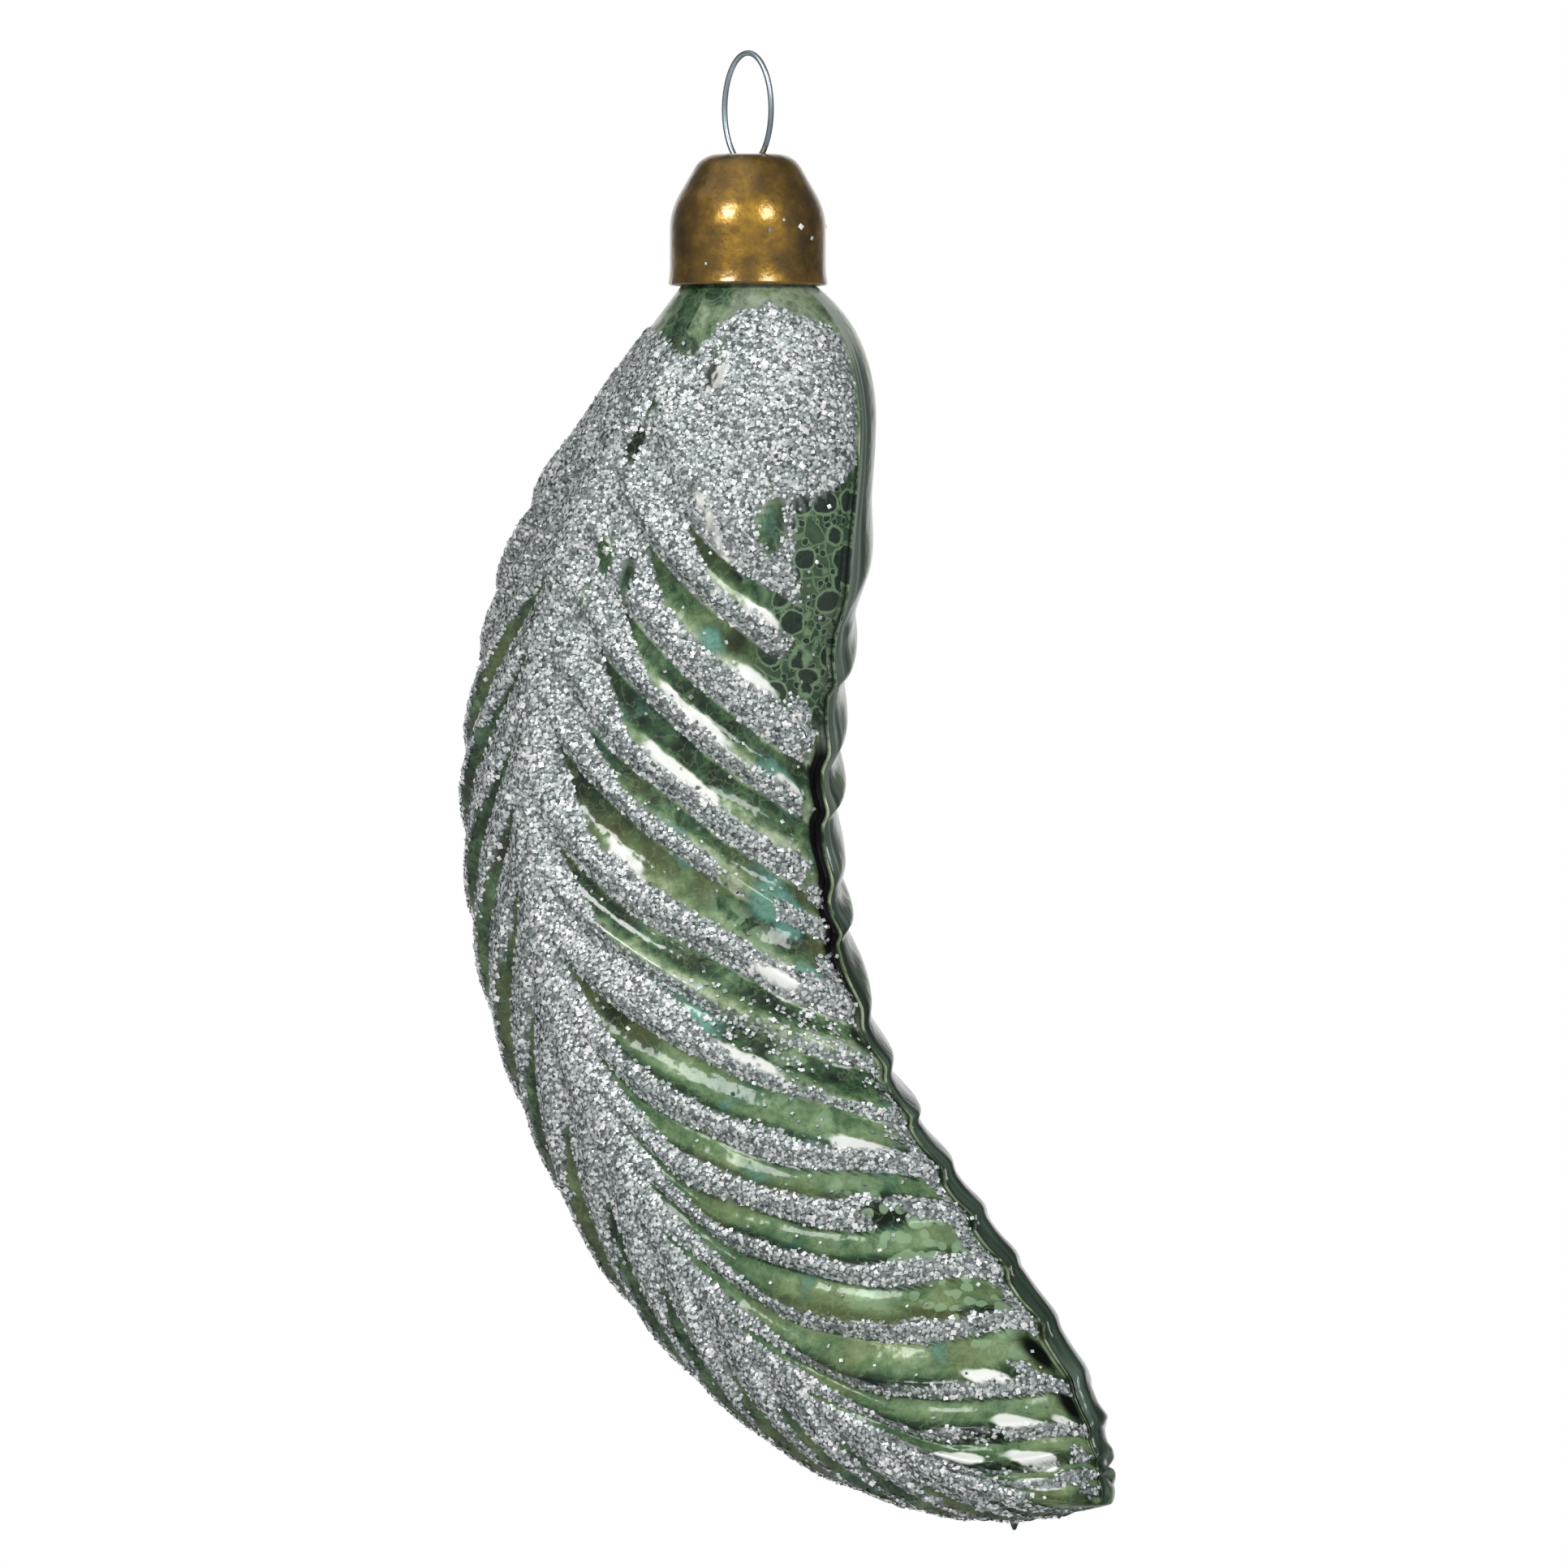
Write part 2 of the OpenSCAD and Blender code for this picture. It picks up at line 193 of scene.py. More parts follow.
def relief(root, w, vane):  # barbs, shaft ridge, and a thin raised seam with a groove beside it
    number, f = barbPhase(root, w, vane)
    along = ease((root - 0.03) / 0.1) * ease((0.97 - root) / 0.06)
    overVane = ease(w / 0.2) * (1 - 0.35 * w * w)
    inside = ease((1 - w) / 0.12)  # the two halves of the mould agree at the seam
    depth = feather["barbDepth"] * (1 + feather["depthSpread"] * np.sin(number * 2.3 + vane * 1.9) * inside)
    ridge = (1 - ease(w / 0.13)) * (1 - 0.6 * root) * ease(root / 0.12) * ease((1 - root) / 0.05)
    seam = np.exp(-((1 - w) / 0.012) ** 2) - 1.3 * np.exp(-((1 - w - 0.035) / 0.016) ** 2)
    uneven = feather["unevenRise"] * wobble(root * 34, w * 5, vane + 11) * inside
    fine = feather["seamRise"] * seam + uneven * overVane
    fine = fine * ease((root - 0.02) / 0.08) * ease((1 - root) / 0.06)
    barbs = depth * (barbRise(f) - feather["meanRise"]) * overVane * along
    return barbs + feather["shaftRise"] * ridge + fine


def featherPoint(root, angle):
    # The skin pushed out by its relief. Beside the lower right seam the back is fuller and the barbs lower,
    # near the tip those of the front as well.
    root, angle = np.broadcast_arrays(*np.atleast_1d(root, angle))
    w, vane = vanePlace(angle), vaneOf(angle)
    t = sweptAlong(root, w)
    beside = (vane == 1) * ease((w - 0.3) / 0.5) * ease((1 - w) / 0.12)
    fuller = beside * ease((t - 0.6) / 0.2) * ease((0.98 - t) / 0.08)
    nearTip = (vane < 2) * ease((w - 0.6) / 0.3) * ease((t - 0.84) / 0.08)
    kept = 1 - feather["lowered"] * np.maximum(fuller, nearTip)
    return smoothSkin(t, angle, relief(root, w, vane) * kept + feather["fuller"] * fuller)


# Meshes from whole arrays of points
def makeObject(name, points, faces, smooth=True):  # points in millimetres, any grid of them
    mesh = bpy.data.meshes.new(name)
    mesh.from_pydata((np.asarray(points).reshape(-1, 3) * mm).tolist(), [], faces)
    mesh.polygons.foreach_set("use_smooth", np.full(len(mesh.polygons), smooth))
    mesh.validate()
    mesh.update()
    made = bpy.data.objects.new(name, mesh)
    bpy.context.collection.objects.link(made)
    return made


def ringFaces(rings, count):  # quads between closed rings of points
    i, j = np.meshgrid(np.arange(rings - 1), np.arange(count), indexing="ij")
    k = (j + 1) % count
    corners = [i * count + j, (i + 1) * count + j, (i + 1) * count + k, i * count + k]
    return np.stack(corners, -1).reshape(-1, 4).tolist()


def endFaces(rings, count):  # flat ends on the first and the last ring
    return [list(range(count)), list(range((rings - 1) * count, rings * count))[::-1]]


def turned(profile, columns):  # profile points (r, z) turned round the axis
    a = np.arange(columns) / columns * 2 * math.pi
    r, z = profile[:, :1], profile[:, 1:]
    return np.stack([r * np.sin(a), -r * np.cos(a), np.broadcast_to(z, (len(profile), columns))], -1)


def arcPoints(center, radius, start, stop, steps):  # points on an arc, angles in degrees
    a = np.radians(np.linspace(start, stop, steps))
    return np.stack([center[0] + radius * np.cos(a), center[1] + radius * np.sin(a)], -1)


def setAttribute(obj, name, values, domain="POINT"):  # one number for each point or face
    layer = obj.data.attributes.new(name, "FLOAT", domain)
    layer.data.foreach_set("value", np.asarray(values, float).ravel())


def finishPiece(obj, body, slot, material, *nodes):  # material, body, and the nodes it stands for; slot is not used
    obj.data.materials.append(material)
    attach(obj, body)
    if nodes:
        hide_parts(*nodes)


# Where the glitter lies: on the crests, along the shaft, over the top and along the lower right seam.
# Places on a vane run from 0 at the shaft to 1 at the seam.
glitter = dict(
    crownEnd=feather["firstGroove"] + 2 * barbPitch, shaftWidth=0.07, rowsPerBarb=28, vaneColumns=96,
    cell=0.29, depth=(0.05, 0.2), strayShare=0.008, capSpecks=16, seed=7,
    flake=0.33, dome=0.05, tilt=0.33, looseTilt=1.4, looseShare=0.07, largeSize=1.5, largeShare=0.03,
    # the bare strip of each right barb: its start on the vane, and its share of the barb
    stripStart=(1.2, 0.37, 0.27, 0.24, 0.2, 0.2, 0.1, 0.12, 0.36,
                0.08, 0.1, 0.08, 0.06, 0.02, 0.01, 0.02, 0.05, 0.05),
    stripShare=(0.5, 0.55, 0.5, 0.6, 0.6, 0.5, 0.5, 0.72, 0.7,
                0.6, 0.52, 0.62, 0.7, 0.77, 0.74, 0.9, 0.55, 0.5),
    noStrip=1.2,  # a start past the seam
    # edges: places on the vane and along the feather of the top ones, and the other way for the web's
    rightTop=((0, 0.1, 0.19, 0.3, 0.54, 0.95), (0.08, 0.086, 0.054, 0.037, 0.027, 0.056)),
    leftTop=((0, 0.06, 0.25, 0.55), (0.08, 0.073, 0.062, 0.055)),
    webEdge=((0.165, 0.2, 0.23, 0.28, 0.33, 0.37, 0.39, 0.49, 0.52, 0.58),
             (1.1, 0.78, 0.71, 0.81, 0.74, 0.95, 0.9, 0.885, 0.94, 0.985)),
    # spots on the right vane: place along the shaft in barbs, place on the vane, and their radii
    bareSpots=((-0.07, 0.265, 0.45, 0.07), (1.05, 0.07, 0.4, 0.032), (1.7, 0.085, 0.42, 0.042),
               (3.05, 0.15, 0.4, 0.05), (2.93, 0.233, 0.5, 0.03), (3.9, 0.12, 0.4, 0.012),
               (0.86, 0.62, 0.4, 0.08), (0.62, 0.72, 0.3, 0.05), (1.16, 0.385, 0.17, 0.026),
               (1.28, 0.43, 0.17, 0.026), (1.4, 0.47, 0.17, 0.026), (1.5, 0.51, 0.17, 0.026),
               (5.7, 0.64, 0.5, 0.13), (6.82, 0.68, 0.2, 0.1), (10.65, 0.66, 0.5, 0.12),
               (15.9, 0.4, 0.6, 0.25)),
    clumps=((2.7, 0.84, 0.25, 0.08), (5.2, 0.9, 0.25, 0.06), (6.4, 0.89, 0.4, 0.07), (13.5, 0.73, 0.25, 0.07),
            (15.8, 0.8, 0.4, 0.12), (16.95, 0.62, 0.4, 0.2), (15.8, 0, 0.5, 0.09)),
    sparse=((7.9, 0.57, 0.75, 0.2), (7.5, 0.76, 0.6, 0.16)),
)


def spots(root, w, places):  # 1 inside any of the ellipses, falling to 0 at the rim
    k = (root - feather["firstGroove"]) / barbPitch
    inside = [1.6 - 1.6 * np.hypot((k - a) / c, (w - b) / d) for a, b, c, d in places]
    return ease(np.maximum.reduce(inside))


def bareStrip(number, right):  # where a barb's bare strip starts on the vane, and its share of a right barb
    n = np.clip(number, 0, feather["barbCount"]).astype(int)
    rightStart = np.where(number < 0, glitter["noStrip"], np.array(glitter["stripStart"])[n])
    leftStart = 0.05 + 0.02 * np.sin(1.7 * number) + 0.16 * ease((number - 6) / 4)
    leftStart = np.where(number < 3, glitter["noStrip"], leftStart)
    return np.where(right, rightStart, leftStart), np.array(glitter["stripShare"])[n]


def glitterCover(root, angle):  # share of the surface under glitter: bands on the crests less the bare places
    w, vane = vanePlace(angle), vaneOf(angle)
    t = sweptAlong(root, w)
    right = vane == 0
    number, f = barbPhase(root, w, vane)
    ragged = wobble(t * 95, w * 17, 21) * 0.6 + wobble(t * 230, w * 41, 22) * 0.4
    start, share = bareStrip(number, right)
    low = share * ease((w - start - 0.02 * ragged) / 0.17 + 0.2)
    rightBand = ease((f - low - 0.06 * ragged * (low > 0.02)) / 0.13 + 0.5 + (low < 0.02))
    rightBand = rightBand * np.where(low > 0.1, ease((1 - f) / 0.07 + 0.2 * ragged), 1)
    high = 0.93 - 0.12 * ease((w - start) / 0.35)  # left strips widen towards the seam
    leftBand = ease(f / 0.06 + 0.3 * ragged) * ease((high - f + 0.05 * ragged) / 0.1)
    leftBand = np.maximum(leftBand, ease((start + 0.03 - w) / 0.04 + 0.4 * ragged))
    band = np.where(right, rightBand, leftBand)
    topEdge = np.where(right, np.interp(w, *glitter["rightTop"]), np.interp(w, *glitter["leftTop"]))
    webEdge = np.interp(t, *glitter["webEdge"])
    seam = ease((w - 0.86 - 0.04 * ragged) / 0.04) * ease((t - 0.6) / 0.1) * ease((0.865 - t) / 0.03)
    cover = band * ease((t - topEdge) / 0.008 + 0.5 + 0.3 * ragged)
    cover = np.where(right, cover * ease((webEdge - w + 0.02 * ragged) / 0.04), cover)
    bare = right * spots(root, w, glitter["bareSpots"]) * ease((0.7 + ragged) / 0.4)
    thin = right * spots(root, w, glitter["sparse"])
    cover = cover * (1 - bare) * (1 - 0.45 * thin)
    more = np.maximum(0.9 * seam, spots(root, w, glitter["clumps"]))
    cover = np.maximum(cover, right * np.maximum(more, (0.26 + 0.16 * ragged) * thin))
    front = (vane == 0) | (vane == 3)
    return np.clip(cover, 0, 1) * front * ease((0.985 - w) / 0.02) * ease((0.985 - root) / 0.03)


# Glass shell: from the inner end of the hollow up to the lip, over it and down the outside to the tip
glass = dict(
    rowsPerBarb=16, quarterColumns=64, crowd=0.7, rootRows=14, tipRows=18, lastRow=0.996,
    innerRows=24, hollowEnd=0.945, rootThinner=0.1, boreOverlap=0.3, neckOverlap=0.15,
    # spots on the right vane, given as those of the glitter
    tealSpots=((0.9, 0.62, 0.25, 0.06), (2.66, 0.53, 0.25, 0.07), (3.8, 0.76, 0.5, 0.12),
               (5.6, 0.73, 0.7, 0.16), (5.6, 0.46, 0.3, 0.08), (8.1, 0.36, 0.6, 0.14),
               (6.7, 0.8, 0.4, 0.1), (9.6, 0.56, 0.3, 0.08)),
    dropSpots=((6.3, 0.6, 0.5, 0.12), (8.2, 0.64, 0.4, 0.1), (9.0, 0.62, 0.5, 0.1), (12.4, 0.4, 0.4, 0.1)),
    # white patches: partly silver film, partly painted highlights where the rises face the lamps
    silverSpots=((1.22, 0.41, 0.4, 0.07), (1.45, 0.48, 0.4, 0.07), (1.93, 0.65, 0.5, 0.1),
                 (2.74, 0.66, 0.5, 0.13), (3.7, 0.5, 0.5, 0.16), (3.9, 0.8, 0.4, 0.08),
                 (4.6, 0.47, 0.5, 0.17), (6.4, 0.31, 0.4, 0.08), (5.76, 0.52, 0.4, 0.07),
                 (6.82, 0.68, 0.5, 0.12), (8.5, 0.5, 0.5, 0.12), (9.44, 0.72, 0.5, 0.16),
                 (13.95, 0.57, 0.4, 0.12), (15.2, 0.55, 0.5, 0.16), (14.8, 0.8, 0.4, 0.12),
                 (16.25, 0.17, 0.3, 0.12), (16.3, 0.45, 0.5, 0.2), (17.2, 0.3, 0.4, 0.2)),
    darkSpots=((-0.07, 0.265, 0.5, 0.08), (1.05, 0.07, 0.5, 0.04), (1.7, 0.085, 0.5, 0.05),
               (3.07, 0.16, 0.4, 0.06), (2.9, 0.24, 0.5, 0.05), (0.9, 0.66, 0.4, 0.08),
               (2.1, 0.38, 0.3, 0.05), (8.9, 0.2, 0.35, 0.12), (10.55, 0.58, 0.2, 0.1),
               (12.5, 0.58, 0.2, 0.12)),
    # black painted shade beside the lower seam
    seamShadeSpots=((12.9, 0.88, 0.7, 0.12), (14.1, 0.92, 0.8, 0.12)),
)


def glassFeather(material):  # rings of the hollow, the neck and the outside, closed by a fan at each end
    n = 4 * glass["quarterColumns"]
    u = np.arange(glass["quarterColumns"]) / glass["quarterColumns"]
    s = u - glass["crowd"] * np.sin(2 * math.pi * u) / (2 * math.pi)  # columns crowd at shaft and seam
    angle = np.concatenate([q + s for q in range(4)]) * math.pi / 2
    around = np.stack([np.sin(angle), -np.cos(angle)], -1)
    first, last = feather["firstGroove"], feather["lastGroove"]
    barbRows = np.arange(feather["barbCount"] * glass["rowsPerBarb"]) / glass["rowsPerBarb"]
    rootRows = np.linspace(0, first, glass["rootRows"], endpoint=False)
    tipRows = last + (glass["lastRow"] - last) * np.linspace(0, 1, glass["tipRows"]) ** 0.8
    roots = np.concatenate([rootRows, first + barbRows * barbPitch, tipRows])
    outer = featherPoint(roots[:, None], angle[None, :])
    inset = feather["glassWall"] + feather["meanRise"] * feather["barbDepth"]
    rootWall = feather["neckWall"] - glass["rootThinner"]
    innerT = (glass["hollowEnd"] * np.linspace(0, 1, glass["innerRows"]) ** 1.15)[::-1]
    innerLift = -rootWall - (inset - rootWall) * ease(innerT / 0.06)
    inner = smoothSkin(innerT[:, None], angle[None, :], innerLift[:, None])
    lip = feather["neckWall"] / 2
    bore, lipZ = feather["neckRadius"] - 2 * lip, neckTopZ - lip
    boreZ = np.linspace(rootZ - glass["boreOverlap"], lipZ, 4, endpoint=False)
    neckZ = np.linspace(lipZ, rootZ + glass["neckOverlap"], 5)[1:]
    neck = turned(np.concatenate([[(bore, z) for z in boreZ], arcPoints((bore + lip, lipZ), lip, 180, 0, 13),
                                  [(bore + 2 * lip, z) for z in neckZ]]), n)
    radius = np.linalg.norm(neck[..., :2], axis=-1, keepdims=True)
    neck[..., :2] = radius * around[None]
    rings = np.concatenate([inner, neck, outer])
    count = len(rings)
    deepest = inner[0].mean(0)
    tip = np.array([feather["tip"][0], 0, rimZ + feather["tip"][1]])
    points = np.concatenate([rings.reshape(-1, 3), [deepest, tip]])
    j = np.arange(n)
    k = (j + 1) % n
    startFan = np.stack([np.full(n, count * n), j, k], -1)
    endFan = np.stack([(count - 1) * n + j, np.full(n, count * n + 1), (count - 1) * n + k], -1)
    obj = makeObject("glassFeather", points, ringFaces(count, n) + startFan.tolist() + endFan.tolist())

    # Map for the bake: columns across, rows down
    i, j = np.meshgrid(np.arange(count - 1), np.arange(n), indexing="ij")
    quadMap = np.stack([np.stack([j + a, i + b + 1], -1) for a, b in ((0, 0), (0, 1), (1, 1), (1, 0))], 2)
    j, one = np.arange(n), np.ones(n)
    startMap = np.stack([np.stack([j + a, b * one], -1) for a, b in ((0.5, 0), (0, 1), (1, 1))], 1)
    endMap = np.stack([np.stack([j + a, (count + b) * one], -1) for a, b in ((0, 0), (0.5, 1), (1, 0))], 1)
    uv = np.concatenate([part.reshape(-1, 2) for part in (quadMap, startMap, endMap)]) / (n, count + 1)
    obj.data.uv_layers.new(name="OFBake").data.foreach_set("uv", uv.astype(np.float32).ravel())

    # Masks that follow the barbs and the seams
    root, angle = np.broadcast_arrays(roots[:, None], angle[None, :])
    w, vane = vanePlace(angle), vaneOf(angle)
    number, f = barbPhase(root, w, vane)
    t = sweptAlong(root, w)
    right, behind = vane == 0, vane == 1
    start, share = bareStrip(number, right)
    lower = ease((number - 7.5) / 2)
    x = f / share
    # Painted shade and highlight: upper strips are dark under a band and pale over the next, lower strips the
    # other way, and the other vanes are dark in their grooves
    upperShadeAndHighlight = 0.06 + 0.2 * (number < 3) + 0.8 * ease((x - 0.42) / 0.5)
    lowerShadeAndHighlight = 0.56 - 0.7 * ease((x - 0.62) / 0.3)
    grooveShade = (0.15 + 0.45 * (vane < 3)) * barbRise(f)
    tone = np.where(right, upperShadeAndHighlight * (1 - lower) + lowerShadeAndHighlight * lower, grooveShade)
    tone = tone - 0.2 * right * (1 - ease((w - start) / 0.3))  # darker where the strips leave the shaft
    # The back strip behind the seam: streaky, and paler towards the top, partly a painted reflection of the
    # backdrop
    edge = behind * ease((w - 0.74) / 0.12)
    tone = tone * (1 - edge) + edge * (1 - ease((t - 0.3) / 0.35))  # the back strip darkens downwards
    tone = tone + ease((0.1 - t) / 0.05) * ease((w - 0.15) / 0.2)  # pale neck
    # Black painted shade along the seam and in its groove
    seamShadeZone = ease((w - 0.895) / 0.02) * ease((t - 0.36) / 0.03) * ease((0.66 - t) / 0.1)
    frontSeamShade = np.maximum(np.maximum(seamShadeZone, ease((w - 0.972) / 0.014)), spots(root, w, glass["seamShadeSpots"]))
    seamShadeEnds = ease((0.994 - w) / 0.008) * ease((t - 0.1) / 0.1)
    webZone = ease((w - 0.6) / 0.12) * ease((t - 0.16) / 0.04) * ease((0.40 - t) / 0.06)
    dropZone = ease((w - 0.5) / 0.1) * ease((root - 0.56) / 0.05) * ease((0.77 - root) / 0.05)
    # where the painted highlights sit: the lower edge of each strip, and the lowest barbs
    silverZone = np.maximum(ease((x - 0.5) / 0.25), ease(number - 13))
    masks = dict(
        glue=ease((glitterCover(root, angle) - 0.35) / 0.5),
        # tone: painted shade and highlight across the strips, less the dark spots
        tone=tone - 0.8 * right * spots(root, w, glass["darkSpots"]),
        # black painted shade along the seam, front and back
        seamShade=(frontSeamShade * right + behind * ease((w - 0.955) / 0.014)) * seamShadeEnds,
        # the back strip, its paleness partly a painted reflection of the backdrop
        pale=edge * ease((0.99 - w) / 0.02),
        web=right * webZone + 0.38 * ease((0.09 - t) / 0.04),
        drops=right * np.maximum(dropZone, 0.7 * spots(root, w, glass["dropSpots"])),
        teal=right * spots(root, w, glass["tealSpots"]),
        calm=right * lower,
        # white patches, partly silver film and partly painted highlight
        silver=right * spots(root, w, glass["silverSpots"]) * silverZone,
    )
    for name, values in masks.items():
        setAttribute(obj, name, np.concatenate([np.zeros((count - len(roots)) * n), values.ravel(), [0, 0]]))
    print("glass feather:", len(obj.data.polygons), "faces")
    finishPiece(obj, "feather", "silvered_glass", material, "glass_feather")


# The finish of the glass: sizes of its patterns in millimetres, and colours from dark to pale
silvering = dict(
    stirSize=2.4, stirReach=1.3, cloudSize=5, fineSize=1.2, fineReach=0.24, shadeAndHighlightReach=0.36, calmReach=0.55,
    # greens: the film's colours, which the tone mask also uses for painted shade and highlight
    greens=((0.28, "#101d13"), (0.42, "#29442b"), (0.54, "#4d6d4a"), (0.66, "#80986f"), (0.80, "#bccaae")),
    oliveSize=9, olive="#7b8552", tealSize=4, teals=((0.64, "#2d5f57"), (0.86, "#6fa798")),
    veins=((1.7, "#86a071"), (1.1, "#18241b")), veinWidth=0.03,
    ground="#324b37", netSize=1.9, net="#83a07b",
    cells=((1.0, 0.32), (2.7, 0.42)), cellRim="#7f9c78", cellCore="#1b2c25",  # size, and radius in the cell
    # the last colours are those of the silver film and its painted highlights
    dropSizes=(1.5, 3.2), drop="#93b08a", streakSize=2.4, whites=((0.78, "#9fb296"), (1.0, "#f6f8f2")),
    stripWaves=(60.0, 8.0, 0.0),  # round the glass and along it
    # strip: the back strip's colours, their paleness partly a painted reflection of the backdrop
    strip=((0.46, "#1f3325"), (0.6, "#43574a"), (0.74, "#67766c"), (0.88, "#aab5ab")),
    # the first colour is the black of the painted shade along the seam
    seamShade="#070a08", glue="#8d9393", hazeSize=4, rippleSize=2.2, rippleDepth=0.4,
)


def silveredGlass():
    # Green blown glass with a patchy silver film inside: mottled, with painted shade in the grooves and
    # painted highlights on the rises, glossy outside
    made, tree = newMaterial("silvered green blown glass")
    place = addNode(tree, "ShaderNodeTexCoord", out="Object")
    names = ("glue", "tone", "seamShade", "pale", "web", "drops", "teal", "calm", "silver")
    mask = {name: addNode(tree, "ShaderNodeAttribute", out="Fac", attribute_name=name) for name in names}
    stir = addNode(tree, "ShaderNodeTexNoise", {
        "Vector": place, "Scale": perSize(silvering["stirSize"]), "Detail": 2.0}, out="Color")
    stirred = addNode(tree, "ShaderNodeVectorMath", {
        0: stir, 1: (silvering["stirReach"] * mm,) * 3, 2: place}, operation="MULTIPLY_ADD")

    # Film: dark to pale green by clouds and by its place on the barb, which paints shade in the grooves and
    # highlight on the rises; calmer low on the right
    cloud = addNode(tree, "ShaderNodeTexNoise", {
        "Vector": stirred, "Scale": perSize(silvering["cloudSize"]), "Detail": 6.0, "Roughness": 0.65})
    level = addNode(tree, "ShaderNodeMath", {
        0: mask["tone"], 1: silvering["shadeAndHighlightReach"], 2: -0.1}, operation="MULTIPLY_ADD")
    fine = addNode(tree, "ShaderNodeTexNoise", {
        "Vector": stirred, "Scale": perSize(silvering["fineSize"]), "Detail": 4.0})
    fine = addNode(tree, "ShaderNodeMapRange", {
        "Value": fine, "To Min": -silvering["fineReach"], "To Max": silvering["fineReach"]})
    mottle = addNode(tree, "ShaderNodeMath", {0: cloud, 1: fine})
    calm = addNode(tree, "ShaderNodeMath", {0: mask["calm"], 1: silvering["calmReach"]}, operation="MULTIPLY")
    mottle = addNode(tree, "ShaderNodeMix", {0: calm, 2: mottle, 3: 0.5})
    level = addNode(tree, "ShaderNodeMath", {0: level, 1: mottle})
    film = addNode(tree, "ShaderNodeValToRGB", {0: level}, stops=silvering["greens"])
    patch = addNode(tree, "ShaderNodeTexNoise", {
        "Vector": place, "Scale": perSize(silvering["oliveSize"]), "Detail": 3.0})
    patch = addNode(tree, "ShaderNodeValToRGB", {0: patch}, stops=((0.5, 0.0), (0.64, 0.4)))
    film = addNode(tree, "ShaderNodeMix", {0: patch, 6: film, 7: silvering["olive"]}, **colorMix)
    patch = addNode(tree, "ShaderNodeTexNoise", {
        "Vector": stirred, "Scale": perSize(silvering["tealSize"]), "Detail": 4.0})
    patch = addNode(tree, "ShaderNodeMath", {0: mask["teal"], 1: 0.3, 2: patch}, operation="MULTIPLY_ADD")
    tint = addNode(tree, "ShaderNodeValToRGB", {0: patch}, stops=silvering["teals"])
    patch = addNode(tree, "ShaderNodeValToRGB", {0: patch}, stops=((0.6, 0.0), (0.8, 0.85)))
    film = addNode(tree, "ShaderNodeMix", {0: patch, 6: film, 7: tint}, **colorMix)

    # Veins: thin pale and dark lines where a noise passes its middle
    for size, tone in silvering["veins"]:
        vein = addNode(tree, "ShaderNodeTexNoise", {"Vector": stirred, "Scale": perSize(size), "Detail": 3.0})
        vein = addNode(tree, "ShaderNodeMath", {0: vein, 1: 0.5}, operation="SUBTRACT")
        vein = addNode(tree, "ShaderNodeMath", {0: vein}, operation="ABSOLUTE")
        lineStops = ((0.0, 0.3), (silvering["veinWidth"], 0.0))
        vein = addNode(tree, "ShaderNodeValToRGB", {0: vein}, stops=lineStops)
        film = addNode(tree, "ShaderNodeMix", {0: vein, 6: film, 7: tone}, **colorMix)

    # Web: a dark ground under a pale net, with round dark cells that have pale rims, small and large
    ground = addNode(tree, "ShaderNodeMath", {0: mask["web"], 1: 0.85}, operation="MULTIPLY")
    film = addNode(tree, "ShaderNodeMix", {0: ground, 6: film, 7: silvering["ground"]}, **colorMix)
    net = addNode(tree, "ShaderNodeTexVoronoi", {
        "Vector": stirred, "Scale": perSize(silvering["netSize"])}, feature="DISTANCE_TO_EDGE")
    net = addNode(tree, "ShaderNodeValToRGB", {0: net}, stops=((0.02, 0.5), (0.07, 0.0)))
    net = addNode(tree, "ShaderNodeMath", {0: net, 1: mask["web"]}, operation="MULTIPLY")
    film = addNode(tree, "ShaderNodeMix", {0: net, 6: film, 7: silvering["net"]}, **colorMix)
    for size, wide in silvering["cells"]:
        cell = addNode(tree, "ShaderNodeTexVoronoi", {"Vector": stirred, "Scale": perSize(size)})
        rimStops = ((wide - 0.01, 0.0), (wide + 0.02, 0.8), (wide + 0.05, 0.8), (wide + 0.1, 0.0))
        coreStops = ((wide - 0.03, 0.9), (wide + 0.01, 0.0))
        for stops, tone in ((rimStops, silvering["cellRim"]), (coreStops, silvering["cellCore"])):
            part = addNode(tree, "ShaderNodeValToRGB", {0: cell}, stops=stops)
            part = addNode(tree, "ShaderNodeMath", {0: part, 1: mask["web"]}, operation="MULTIPLY")
            film = addNode(tree, "ShaderNodeMix", {0: part, 6: film, 7: tone}, **colorMix)

    # Mint drops of thicker film near the lower seam, then white patches: partly silver film, partly painted
    # highlight
    for size in silvering["dropSizes"]:
        drop = addNode(tree, "ShaderNodeTexVoronoi", {"Vector": stirred, "Scale": perSize(size)})
        drop = addNode(tree, "ShaderNodeValToRGB", {0: drop}, stops=((0.38, 0.75), (0.43, 0.0)))
        drop = addNode(tree, "ShaderNodeMath", {0: drop, 1: mask["drops"]}, operation="MULTIPLY")
        film = addNode(tree, "ShaderNodeMix", {0: drop, 6: film, 7: silvering["drop"]}, **colorMix)
    streak = addNode(tree, "ShaderNodeTexNoise", {
        "Vector": stirred, "Scale": perSize(silvering["streakSize"]), "Detail": 5.0})
    streak = addNode(tree, "ShaderNodeMath", {0: mask["silver"], 1: 0.6, 2: streak}, operation="MULTIPLY_ADD")
    white = addNode(tree, "ShaderNodeValToRGB", {0: streak}, stops=silvering["whites"])
    streak = addNode(tree, "ShaderNodeValToRGB", {0: streak}, stops=((0.72, 0.0), (0.9, 1.0)))
    film = addNode(tree, "ShaderNodeMix", {0: streak, 6: film, 7: white}, **colorMix)

